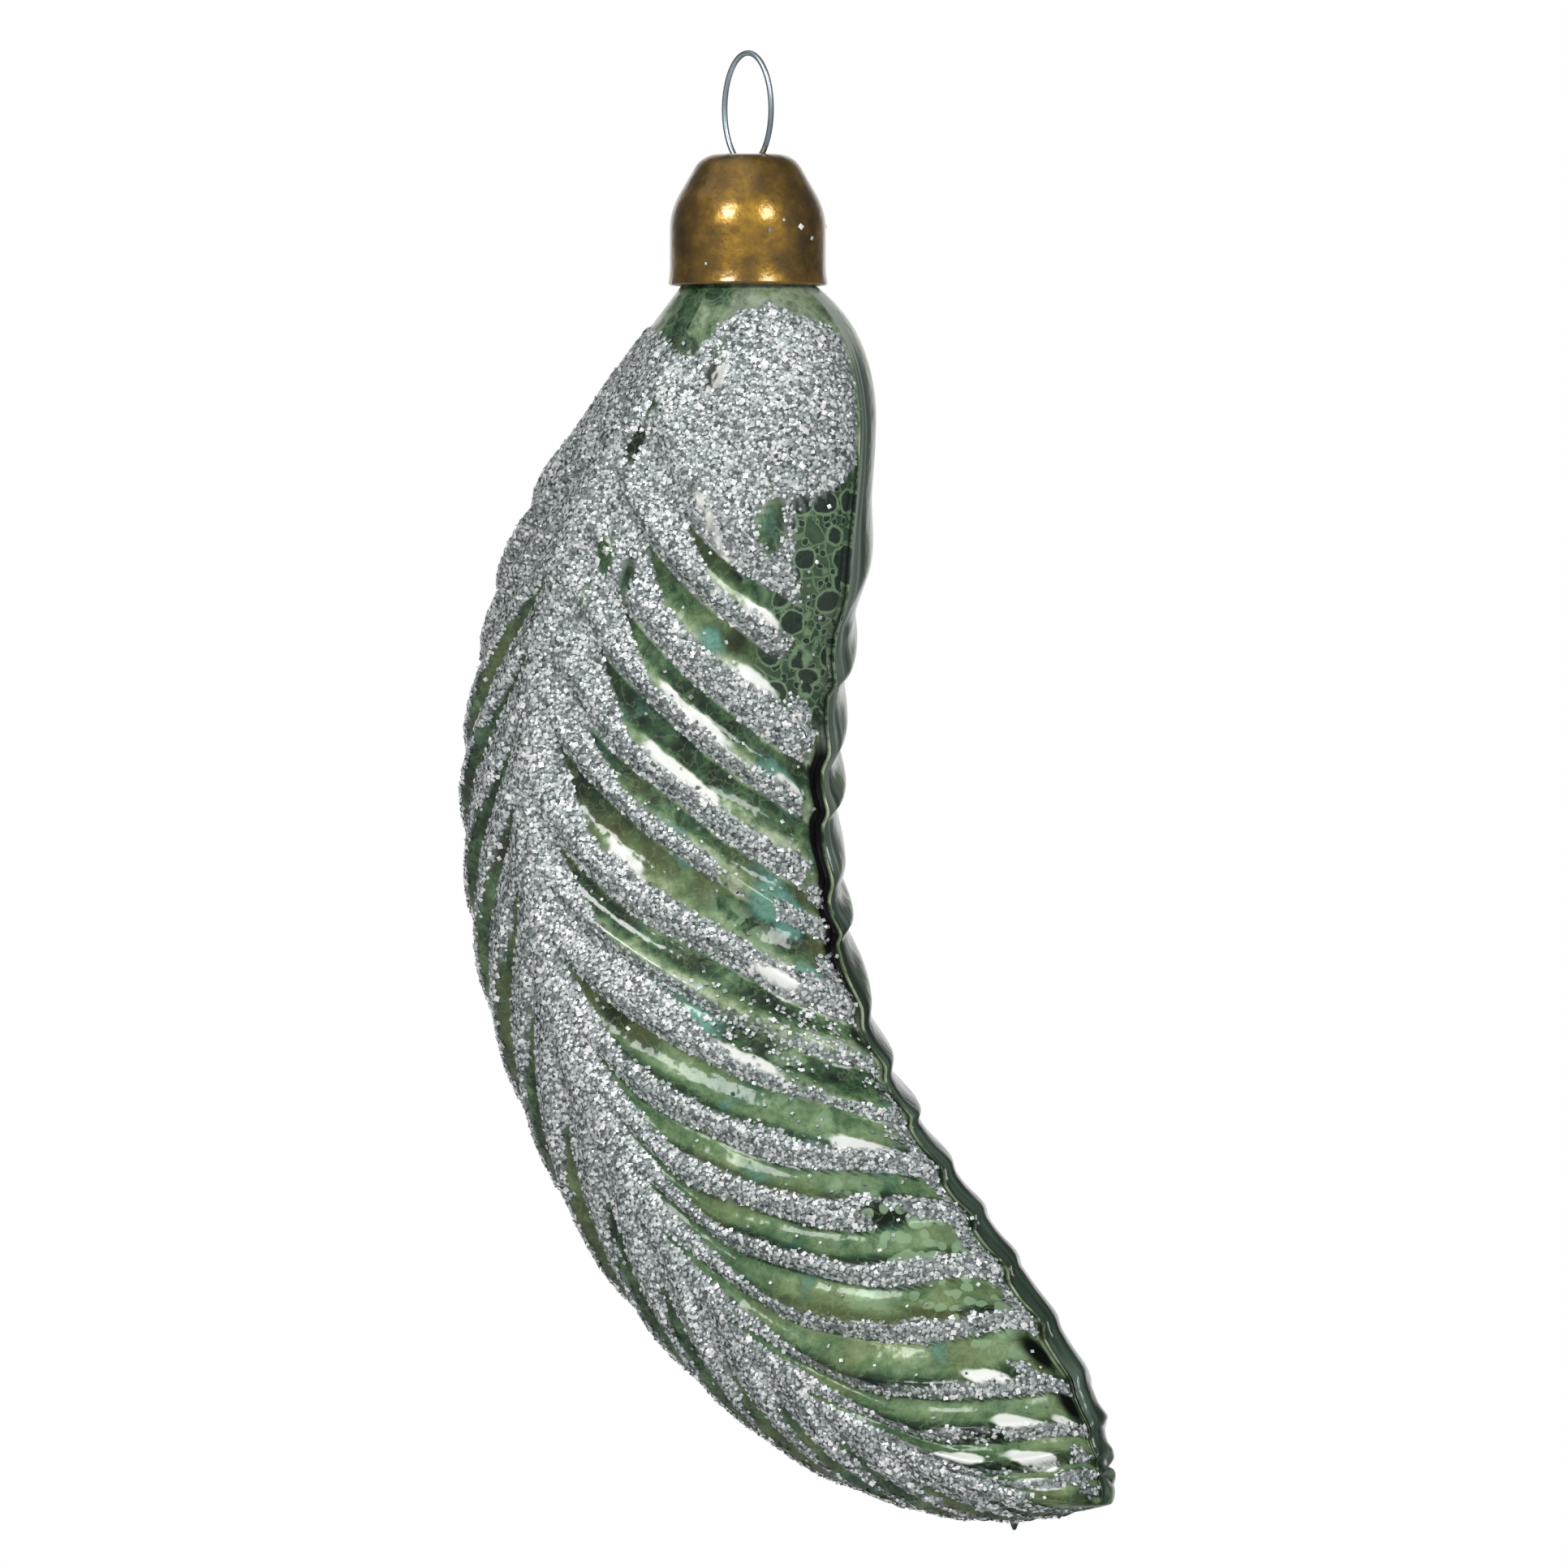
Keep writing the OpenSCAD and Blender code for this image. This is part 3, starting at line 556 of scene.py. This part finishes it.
    # The streaky strip behind the seam with its painted reflection, the black painted shade along the seam,
    # and the glue under the glitter
    ways = addNode(tree, "ShaderNodeUVMap", uv_map="OFBake")
    ways = addNode(tree, "ShaderNodeVectorMath", {0: ways, 1: silvering["stripWaves"]}, operation="MULTIPLY")
    ways = addNode(tree, "ShaderNodeTexNoise", {"Vector": ways, "Scale": 1.0, "Detail": 4.0})
    ways = addNode(tree, "ShaderNodeMath", {0: mask["tone"], 1: 0.22, 2: ways}, operation="MULTIPLY_ADD")
    strip = addNode(tree, "ShaderNodeValToRGB", {0: ways}, stops=silvering["strip"])
    for name, tone in (("pale", strip), ("seamShade", silvering["seamShade"]), ("glue", silvering["glue"])):
        film = addNode(tree, "ShaderNodeMix", {0: mask[name], 6: film, 7: tone}, **colorMix)

    # A glossy outside, duller on the painted seam shade and low on the right, with faint ripples
    metal = addNode(tree, "ShaderNodeMath", {0: mask["glue"], 1: -0.1, 2: 0.1}, operation="MULTIPLY_ADD")
    coat = addNode(tree, "ShaderNodeMath", {0: mask["seamShade"], 1: -0.75, 2: 0.8}, operation="MULTIPLY_ADD")
    coat = addNode(tree, "ShaderNodeMath", {
        0: mask["calm"], 1: -0.4, 2: coat}, operation="MULTIPLY_ADD", use_clamp=True)
    rough = addNode(tree, "ShaderNodeTexNoise", {
        "Vector": place, "Scale": perSize(silvering["hazeSize"]), "Detail": 3.0})
    rough = addNode(tree, "ShaderNodeMapRange", {"Value": rough, "To Min": 0.25, "To Max": 0.5})
    ripple = addNode(tree, "ShaderNodeTexNoise", {
        "Vector": place, "Scale": perSize(silvering["rippleSize"]), "Detail": 2.0})
    ripple = addNode(tree, "ShaderNodeBump", {
        "Height": ripple, "Strength": 0.35, "Distance": silvering["rippleDepth"] * mm})
    shader = addNode(tree, "ShaderNodeBsdfPrincipled", {
        "Base Color": film, "Metallic": metal, "Roughness": rough, "Normal": ripple,
        "Specular IOR Level": 0.1, "Coat Weight": coat, "Coat Roughness": 0.1, "Coat Normal": ripple})
    addNode(tree, "ShaderNodeOutputMaterial", {"Surface": shader})
    return made


# Glitter: small square flakes, slightly domed on both faces, each tilted its own way
flakeFaces = np.array([(0, 1, 4), (1, 2, 4), (2, 3, 4), (3, 0, 4),
                       (1, 0, 5), (2, 1, 5), (3, 2, 5), (0, 3, 5)])


def flakeObject(name, points, normals, rng):  # four corners along two tangents, a tip above and one below
    count = len(points)
    loose = rng.uniform(size=(count, 1)) < glitter["looseShare"]
    tilt = np.where(loose, glitter["looseTilt"], glitter["tilt"])
    normals = normals + tilt * rng.normal(0, 0.6, normals.shape)
    normals /= np.linalg.norm(normals, axis=1)[:, None]
    guide = np.where(np.abs(normals[:, 2:]) < 0.9, (0.0, 0.0, 1.0), (1.0, 0.0, 0.0))
    a = np.cross(guide, normals)
    a /= np.linalg.norm(a, axis=1)[:, None]
    b = np.cross(normals, a)
    spin = rng.uniform(0, 2 * math.pi, (count, 1))
    a, b = a * np.cos(spin) + b * np.sin(spin), b * np.cos(spin) - a * np.sin(spin)
    square = np.array([(-1, -1), (1, -1), (1, 1), (-1, 1)]) / 2
    large = rng.uniform(size=(count, 1)) < glitter["largeShare"]
    size = glitter["flake"] * rng.uniform(0.75, 1.2, (count, 1)) * rng.uniform(0.85, 1.15, (count, 2))
    size = size * np.where(large, glitter["largeSize"], 1)
    corners = square[None] * size[:, None]
    flat = points[:, None] + a[:, None] * corners[..., :1] + b[:, None] * corners[..., 1:]
    tips = points[:, None] + normals[:, None] * np.array([1, -1])[None, :, None] * glitter["dome"] / 2
    faces = (np.arange(count)[:, None, None] * 6 + flakeFaces[None]).reshape(-1, 3)
    obj = makeObject(name, np.concatenate([flat, tips], 1), faces.tolist(), smooth=False)
    # large flakes take the brightest colour, a painted glint
    tone = np.where(large[:, 0], 1, rng.uniform(0, 1, count))  # large flakes are bright
    setAttribute(obj, "flakeTone", np.repeat(tone, len(flakeFaces)), "FACE")
    side = math.ceil(math.sqrt(count))  # each flake has its own small square of the map
    cell = np.stack([np.arange(count) % side, np.arange(count) // side], -1)
    spread = np.concatenate([square * 0.8, np.zeros((2, 2))])[flakeFaces] + 0.5
    uv = (cell[:, None, None] + spread[None]) / side
    obj.data.uv_layers.new(name="OFBake").data.foreach_set("uv", uv.astype(np.float32).ravel())
    print(name + ":", count, "flakes")
    return obj


def scatterFlakes(material):  # one flake to a cell of a jittered grid, two where the cells are large
    rng = np.random.default_rng(glitter["seed"])
    step = barbPitch / glitter["rowsPerBarb"]
    rows = np.arange(0.002, 0.985, step)
    columns = (np.arange(glitter["vaneColumns"]) + 0.5) / glitter["vaneColumns"]
    nudge = 0.01  # of the angle, for the slope
    found = []
    for sign in (1, -1):
        for layer in range(2):
            root = rows[:, None] + step * rng.uniform(-0.5, 0.5, (len(rows), len(columns)))
            w = columns[None] + rng.uniform(-0.5, 0.5, root.shape) / glitter["vaneColumns"]
            root, w = root.ravel(), np.clip(w.ravel(), 0.001, 0.999)
            angle = np.mod(sign * w * math.pi / 2, 2 * math.pi)
            here = featherPoint(root, angle)
            out = np.cross(featherPoint(root + step, angle) - here, featherPoint(root, angle + nudge) - here)
            area = np.linalg.norm(out, axis=1)
            cellArea = area / nudge * math.pi / 2 / glitter["vaneColumns"]
            wanted = np.clip(cellArea / glitter["cell"] ** 2 - layer, 0, 1)
            take = rng.uniform(size=len(root)) < wanted * glitterCover(root, angle)
            stray = rng.uniform(size=len(root)) < glitter["strayShare"] * wanted
            stray = stray & ~take & (layer == 0) & (root > 0.04)
            line = np.where(w < glitter["shaftWidth"], 1, 2 if sign > 0 else 3)
            group = np.where(stray, 4, np.where(root < glitter["crownEnd"], 0, line))
            take |= stray
            found.append((here[take], (out / area[:, None])[take], group[take]))
    points, normals, group = (np.concatenate(part) for part in zip(*found))
    lowest, spread = glitter["depth"]  # above the glass, in the glue
    points = points + normals * (lowest + spread * rng.uniform(size=(len(points), 1)))
    pieces = (("glitterCrown", "glitter_crown"), ("glitterShaft", "glitter_shaft"),
              ("glitterRightBarbs", "glitter_right_barbs"), ("glitterLeftBarbs", "glitter_left_barbs"),
              ("strayFlakes",))
    for i, (name, *nodes) in enumerate(pieces):
        obj = flakeObject(name, points[group == i], normals[group == i], rng)
        finishPiece(obj, "feather", "glitter", material, *nodes)


def silverFlake():
    # Aluminised polyester glitter: bright flakes, some dulled by the glue
    made, tree = newMaterial("aluminised polyester glitter")
    tone = addNode(tree, "ShaderNodeAttribute", out="Fac", attribute_name="flakeTone")
    # the white at the top is the large flakes' painted glint
    greys = ((0.0, "#444c4b"), (0.12, "#7f8988"), (0.34, "#acb6b5"), (0.7, "#d3dbdb"), (1.0, "#ffffff"))
    color = addNode(tree, "ShaderNodeValToRGB", {0: tone}, stops=greys)
    rough = addNode(tree, "ShaderNodeMapRange", {"Value": tone, "To Min": 0.45, "To Max": 0.2})
    shader = addNode(tree, "ShaderNodeBsdfPrincipled", {
        "Base Color": color, "Roughness": rough, "Metallic": 0.25})
    addNode(tree, "ShaderNodeOutputMaterial", {"Surface": shader})
    return made


# Cap: one outline turned round the axis, with two holes for the wire
cap = dict(
    radius=7.5, flatRadius=2.85, edgeRadius=2.6, coneAngle=30, shoulderRadius=6.5, sheet=0.4, columns=120,
    rimRoll=0.15, flareFrom=1.9, dent=0.004, holeX=1.475, holeRadius=0.65, holeSides=32, cutterReach=2.0,
    cloudSize=3, golds=((0.32, "#624802"), (0.5, "#876402"), (0.68, "#b58a18")),
    pitSize=0.9, pit="#2a1d08", dentSize=1.3, dentDepth=0.25,
)


def capOutline(inset):  # flat, rounded edge, cone and shoulder, moved inwards by inset
    height, tilt = capTopZ - rimZ, math.radians(cap["coneAngle"])
    edge = np.array([cap["flatRadius"], height - cap["edgeRadius"]])
    shoulderX = cap["radius"] - cap["shoulderRadius"]
    reach = cap["edgeRadius"] - cap["shoulderRadius"] - (shoulderX - edge[0]) * math.cos(tilt)
    skirt = edge[1] + reach / math.sin(tilt)
    flat = np.stack([np.linspace(0.3, edge[0], 5, endpoint=False), np.full(5, height - inset)], -1)
    edgeArc = arcPoints(edge, cap["edgeRadius"] - inset, 90, cap["coneAngle"], 9)
    shoulderArc = arcPoints((shoulderX, skirt), cap["shoulderRadius"] - inset, cap["coneAngle"], 0, 9)
    return np.concatenate([flat, edgeArc, shoulderArc])


def brassCap(material):  # the outline, a skirt that flares by a square and a rolled rim; then the holes
    roll = (cap["sheet"] + cap["rimRoll"]) / 2
    rim = arcPoints((cap["radius"] - cap["sheet"] + roll, roll), roll, 10, -180, 12)
    outside = capOutline(0)
    skirtZ = np.linspace(outside[-1, 1] - 0.4, 1.25 * roll, 16)
    flare = cap["rimRoll"] * np.clip((cap["flareFrom"] - skirtZ) / (cap["flareFrom"] - roll), 0, 1) ** 2
    skirt = np.stack([cap["radius"] + flare, skirtZ], -1)
    profile = np.concatenate([outside, skirt, rim, capOutline(cap["sheet"])[::-1]])
    count, columns = len(profile), cap["columns"]
    rings = turned(profile, columns)
    waves = wobble(rings[..., 0] * 0.35, rings[..., 2] * 0.3, 31)
    dent = cap["dent"] * waves * ease((12 - rings[..., 2]) / 4)
    rings[..., :2] *= 1 + dent[..., None]
    obj = makeObject("brassCap", rings + (0, 0, rimZ), ringFaces(count, columns) + endFaces(count, columns))
    cutters = []
    for side in (-1, 1):
        wall = np.array([(cap["holeRadius"], cap["cutterReach"]), (cap["holeRadius"], -cap["cutterReach"])])
        hole = turned(wall, cap["holeSides"]) + (side * cap["holeX"], 0, capTopZ)
        cutterFaces = ringFaces(2, cap["holeSides"]) + endFaces(2, cap["holeSides"])
        cutters.append(makeObject("holeCutter", hole, cutterFaces))
        cut = obj.modifiers.new("wire hole", "BOOLEAN")
        cut.object, cut.operation, cut.solver = cutters[-1], "DIFFERENCE", "EXACT"
    obj.data = bpy.data.meshes.new_from_object(obj.evaluated_get(bpy.context.evaluated_depsgraph_get()))
    obj.modifiers.clear()
    for cutter in cutters:
        bpy.data.objects.remove(cutter)
    obj.data.set_sharp_from_angle(angle=math.radians(40))
    print("cap:", len(obj.data.polygons), "faces")
    finishPiece(obj, "cap", "antique_brass", material, "cap")


def capSpecks(material):  # single flakes stuck to the cap, at random places on its turned outline
    rng = np.random.default_rng(glitter["seed"] + 1)
    outside = capOutline(0)[::-1]
    z = rng.uniform(0.8, 12.0, glitter["capSpecks"])
    r = np.interp(z, outside[:, 1], outside[:, 0])
    slope = (np.interp(z - 0.05, outside[:, 1], outside[:, 0]) - r) / 0.05
    a = rng.uniform(0, 2 * math.pi, len(z))
    normals = np.stack([np.sin(a), -np.cos(a), slope], -1)
    points = np.stack([r * np.sin(a), -r * np.cos(a), z + rimZ], -1) + 0.06 * normals
    finishPiece(flakeObject("capSpecks", points, normals, rng), "cap", "glitter", material)


def antiqueBrass():
    # Pressed brass, darkened and lacquered: brown gold, cloudy, with small dark pits
    made, tree = newMaterial("antiqued lacquered brass")
    place = addNode(tree, "ShaderNodeTexCoord", out="Object")
    cloud = addNode(tree, "ShaderNodeTexNoise", {
        "Vector": place, "Scale": perSize(cap["cloudSize"]), "Detail": 6.0, "Roughness": 0.65})
    color = addNode(tree, "ShaderNodeValToRGB", {0: cloud}, stops=cap["golds"])
    pit = addNode(tree, "ShaderNodeTexVoronoi", {"Vector": place, "Scale": perSize(cap["pitSize"])})
    pit = addNode(tree, "ShaderNodeValToRGB", {0: pit}, stops=((0.05, 0.6), (0.16, 0.0)))
    color = addNode(tree, "ShaderNodeMix", {0: pit, 6: color, 7: cap["pit"]}, **colorMix)
    rough = addNode(tree, "ShaderNodeMapRange", {"Value": cloud, "To Min": 0.28, "To Max": 0.4})
    dents = addNode(tree, "ShaderNodeTexNoise", {
        "Vector": place, "Scale": perSize(cap["dentSize"]), "Detail": 3.0})
    dents = addNode(tree, "ShaderNodeBump", {
        "Height": dents, "Strength": 0.28, "Distance": cap["dentDepth"] * mm})
    shader = addNode(tree, "ShaderNodeBsdfPrincipled", {
        "Base Color": color, "Roughness": rough, "Normal": dents, "Metallic": 0.9,
        "Coat Weight": 1.0, "Coat Roughness": 0.19, "Coat IOR": 1.65, "Coat Normal": dents})
    addNode(tree, "ShaderNodeOutputMaterial", {"Surface": shader})
    return made


# Hanger: a round wire carried along its bent path in the XZ plane
hanger = dict(
    wire=0.55, sides=20, loopWidth=6.2, waist=3.4, shank=2.5, drop=1.2, play=3.0, sheetRoom=0.6,
    spread=5.5, legGap=0.1, tarnishSize=4, steels=((0.35, "#98a5ad"), (0.65, "#bac5cb")),
)


def wirePath():  # oval loop, easing into straight shanks, then legs that spread to the neck's bore
    r = hanger["wire"] / 2
    loopR = (hanger["loopWidth"] - hanger["wire"]) / 2
    waist = math.pi - math.asin(hanger["waist"] / 2 / loopR)
    ovalR = (r - capTopZ) / (1 - math.cos(waist))
    a = np.linspace(0, waist, 60)
    loop = np.stack([loopR * np.sin(a), r + ovalR * (np.cos(a) - 1)], -1)
    k = np.linspace(0, 1, 12)[1:]
    shankX = (hanger["waist"] + (hanger["shank"] - hanger["waist"]) * k * (2 - k)) / 2
    shank = np.stack([shankX, capTopZ - hanger["drop"] * k], -1)
    spreadZ = capTopZ - hanger["drop"] - hanger["play"] - hanger["sheetRoom"]
    legX = feather["neckRadius"] - feather["neckWall"] - hanger["legGap"] - r
    k = np.linspace(0, 1, 30)
    spreadX = hanger["shank"] / 2 + (legX - hanger["shank"] / 2) * ease(k)
    leg = np.stack([spreadX, spreadZ - hanger["spread"] * k], -1)
    low = np.stack([np.full(8, legX), np.linspace(leg[-1, 1], wireEndZ, 9)[1:]], -1)
    half = np.concatenate([loop, shank, leg, low])
    return np.concatenate([half[:0:-1] * (-1, 1), half])


def springWire(material):  # a circle carried along the path and square to it
    path = wirePath()
    way = np.gradient(path, axis=0)
    side = np.stack([way[:, 1], -way[:, 0]], -1) / np.linalg.norm(way, axis=1)[:, None]
    a = np.arange(hanger["sides"]) / hanger["sides"] * 2 * math.pi
    r = hanger["wire"] / 2
    depth = np.broadcast_to(-r * np.cos(a), (len(path), len(a)))
    rings = np.stack([path[:, :1] + side[:, :1] * r * np.sin(a), depth,
                      path[:, 1:] + side[:, 1:] * r * np.sin(a)], -1)
    obj = makeObject("springWire", rings, ringFaces(len(path), len(a)) + endFaces(len(path), len(a)))
    obj.data.set_sharp_from_angle(angle=math.radians(50))
    print("wire:", len(obj.data.polygons), "faces")
    finishPiece(obj, "hanger", "spring_steel", material, "hanger_wire")


def drawnSteel():
    # Bright drawn spring wire: smooth, with a little blue-grey tarnish
    made, tree = newMaterial("drawn spring steel")
    place = addNode(tree, "ShaderNodeTexCoord", out="Object")
    cloud = addNode(tree, "ShaderNodeTexNoise", {
        "Vector": place, "Scale": perSize(hanger["tarnishSize"]), "Detail": 2.0})
    color = addNode(tree, "ShaderNodeValToRGB", {0: cloud}, stops=hanger["steels"])
    rough = addNode(tree, "ShaderNodeMapRange", {"Value": cloud, "To Min": 0.26, "To Max": 0.34})
    shader = addNode(tree, "ShaderNodeBsdfPrincipled", {
        "Base Color": color, "Roughness": rough, "Metallic": 1.0})
    addNode(tree, "ShaderNodeOutputMaterial", {"Surface": shader})
    return made


# Pip where the glass was sealed off, at the lower edge
pip = dict(along=0.955, width=0.9, length=1.2, sunk=0.6, sides=24)


def sealingPip(material):  # a short drop: the radius closes along its length
    foot = smoothSkin(pip["along"], 1.5 * math.pi, 0.0)[0]
    k = np.linspace(0, 1, 14)[:-1]
    radius = pip["width"] / 2 * np.sqrt(1 - k ** 3) * (1 + 0.15 * np.sin(k * 5))
    profile = np.stack([radius, pip["sunk"] - (pip["sunk"] + pip["length"]) * k], -1)
    count, n = len(profile), pip["sides"]
    points = np.concatenate([(turned(profile, n) + foot).reshape(-1, 3), [foot - (0, 0, pip["length"])]])
    j = np.arange(n)
    fan = np.stack([(count - 1) * n + j, np.full(n, count * n), (count - 1) * n + (j + 1) % n], -1)
    obj = makeObject("sealingPip", points, ringFaces(count, n) + fan.tolist() + endFaces(count, n)[:1])
    print("pip:", len(obj.data.polygons), "faces")
    finishPiece(obj, "feather", "silvered_glass", material)


glassMaterial, flakeMaterial = silveredGlass(), silverFlake()
glassFeather(glassMaterial)
scatterFlakes(flakeMaterial)
brassCap(antiqueBrass())
capSpecks(flakeMaterial)
springWire(drawnSteel())
sealingPip(glassMaterial)

# Camera at the photograph's angle: level, turned 38 degrees to the feather's right. From here on in metres.
shot = dict(azimuth=38, distance=2.5, frameWidth=0.1501, right=0.00346, up=-0.0697, sensor=36)
turn = math.radians(shot["azimuth"])
rightward = np.array([math.cos(turn), math.sin(turn), 0])
backward = np.array([math.sin(turn), -math.cos(turn), 0])
cameraData = bpy.data.cameras.new("camera")
cameraData.sensor_width = shot["sensor"]
cameraData.lens = shot["sensor"] * shot["distance"] / shot["frameWidth"]
cameraData.clip_start, cameraData.clip_end = 0.01, 20
camera = bpy.data.objects.new("camera", cameraData)
camera.location = rightward * shot["right"] + (0, 0, shot["up"]) + backward * shot["distance"]
camera.rotation_euler = (math.pi / 2, 0, turn)
bpy.context.collection.objects.link(camera)
bpy.context.scene.camera = camera

# Studio: soft lamps, placed by their angle from the camera and aimed at the middle of the glass
lamps = dict(
    frontLeft=dict(azimuth=-30, elevation=29, distance=0.95, size=(0.22, 0.3), power=3.7),
    frontRight=dict(azimuth=30, elevation=29, distance=0.95, size=(0.22, 0.3), power=2.1),
    above=dict(azimuth=-70, elevation=70, distance=0.9, size=(1.1, 0.9), power=0.9),
)
lampAim = np.array([0.006, 0, -0.07])
for name, spec in lamps.items():
    a, e = turn + math.radians(spec["azimuth"]), math.radians(spec["elevation"])
    away = np.array([math.sin(a) * math.cos(e), -math.cos(a) * math.cos(e), math.sin(e)])
    data = bpy.data.lights.new(name, "AREA")
    data.shape, data.size, data.size_y, data.energy = "RECTANGLE", *spec["size"], spec["power"]
    lamp = bpy.data.objects.new(name, data)
    lamp.location = lampAim + away * spec["distance"]
    lamp.rotation_euler = (math.pi / 2 - e, 0, a)
    bpy.context.collection.objects.link(lamp)

# Pale floor, well below; its disc is in millimetres
ground = dict(z=-360.0, inner=1.0, outer=1500.0, sides=64, pales=((0.3, "#ececec"), (0.7, "#f4f4f4")))
disc = turned(np.array([(ground["inner"], ground["z"]), (ground["outer"], ground["z"])]), ground["sides"])
floor = makeObject("floor", disc, ringFaces(2, ground["sides"]) + endFaces(2, ground["sides"])[:1])
floorMaterial, tree = newMaterial("pale floor")
place = addNode(tree, "ShaderNodeTexCoord", out="Object")
grain = addNode(tree, "ShaderNodeTexNoise", {"Vector": place, "Scale": 40.0})
pale = addNode(tree, "ShaderNodeValToRGB", {0: grain}, stops=ground["pales"])
shader = addNode(tree, "ShaderNodeBsdfPrincipled", {"Base Color": pale, "Roughness": 0.9})
addNode(tree, "ShaderNodeOutputMaterial", {"Surface": shader})
floor.data.materials.append(floorMaterial)

# Surroundings: white for the camera, and for gloss and glass that face the backdrop behind the ornament.
# All other light comes from a dim room that is brighter on the camera's side.
world = bpy.data.worlds.new("studio")
bpy.context.scene.world = world
world.use_nodes = True
tree = world.node_tree
tree.nodes.clear()
ray = addNode(tree, "ShaderNodeLightPath").node.outputs
around = addNode(tree, "ShaderNodeTexCoord")
facing = addNode(tree, "ShaderNodeVectorMath", {
    0: around, 1: backward.tolist()}, out="Value", operation="DOT_PRODUCT")
room = addNode(tree, "ShaderNodeMapRange", {
    "Value": facing, "From Min": -0.5, "From Max": 0.9, "To Min": 0.13, "To Max": 0.5},
    interpolation_type="SMOOTHSTEP")
backdrop = addNode(tree, "ShaderNodeMapRange", {
    "Value": facing, "From Min": -0.95, "From Max": -0.75, "To Min": 1.0, "To Max": 0.0},
    interpolation_type="SMOOTHSTEP")
mirrored = addNode(tree, "ShaderNodeMath", {
    0: ray["Is Glossy Ray"], 1: ray["Is Transmission Ray"]}, operation="MAXIMUM")
mirrored = addNode(tree, "ShaderNodeMath", {0: mirrored, 1: backdrop}, operation="MULTIPLY")
seen = addNode(tree, "ShaderNodeMath", {0: ray["Is Camera Ray"], 1: mirrored}, operation="MAXIMUM")
level = addNode(tree, "ShaderNodeMapRange", {"Value": seen, "To Min": room, "To Max": 1.0})
light = addNode(tree, "ShaderNodeBackground", {"Color": "#ffffff", "Strength": level})
addNode(tree, "ShaderNodeOutputWorld", {"Surface": light})

bpy.context.scene.view_settings.view_transform = "Standard"
print("scene ready")
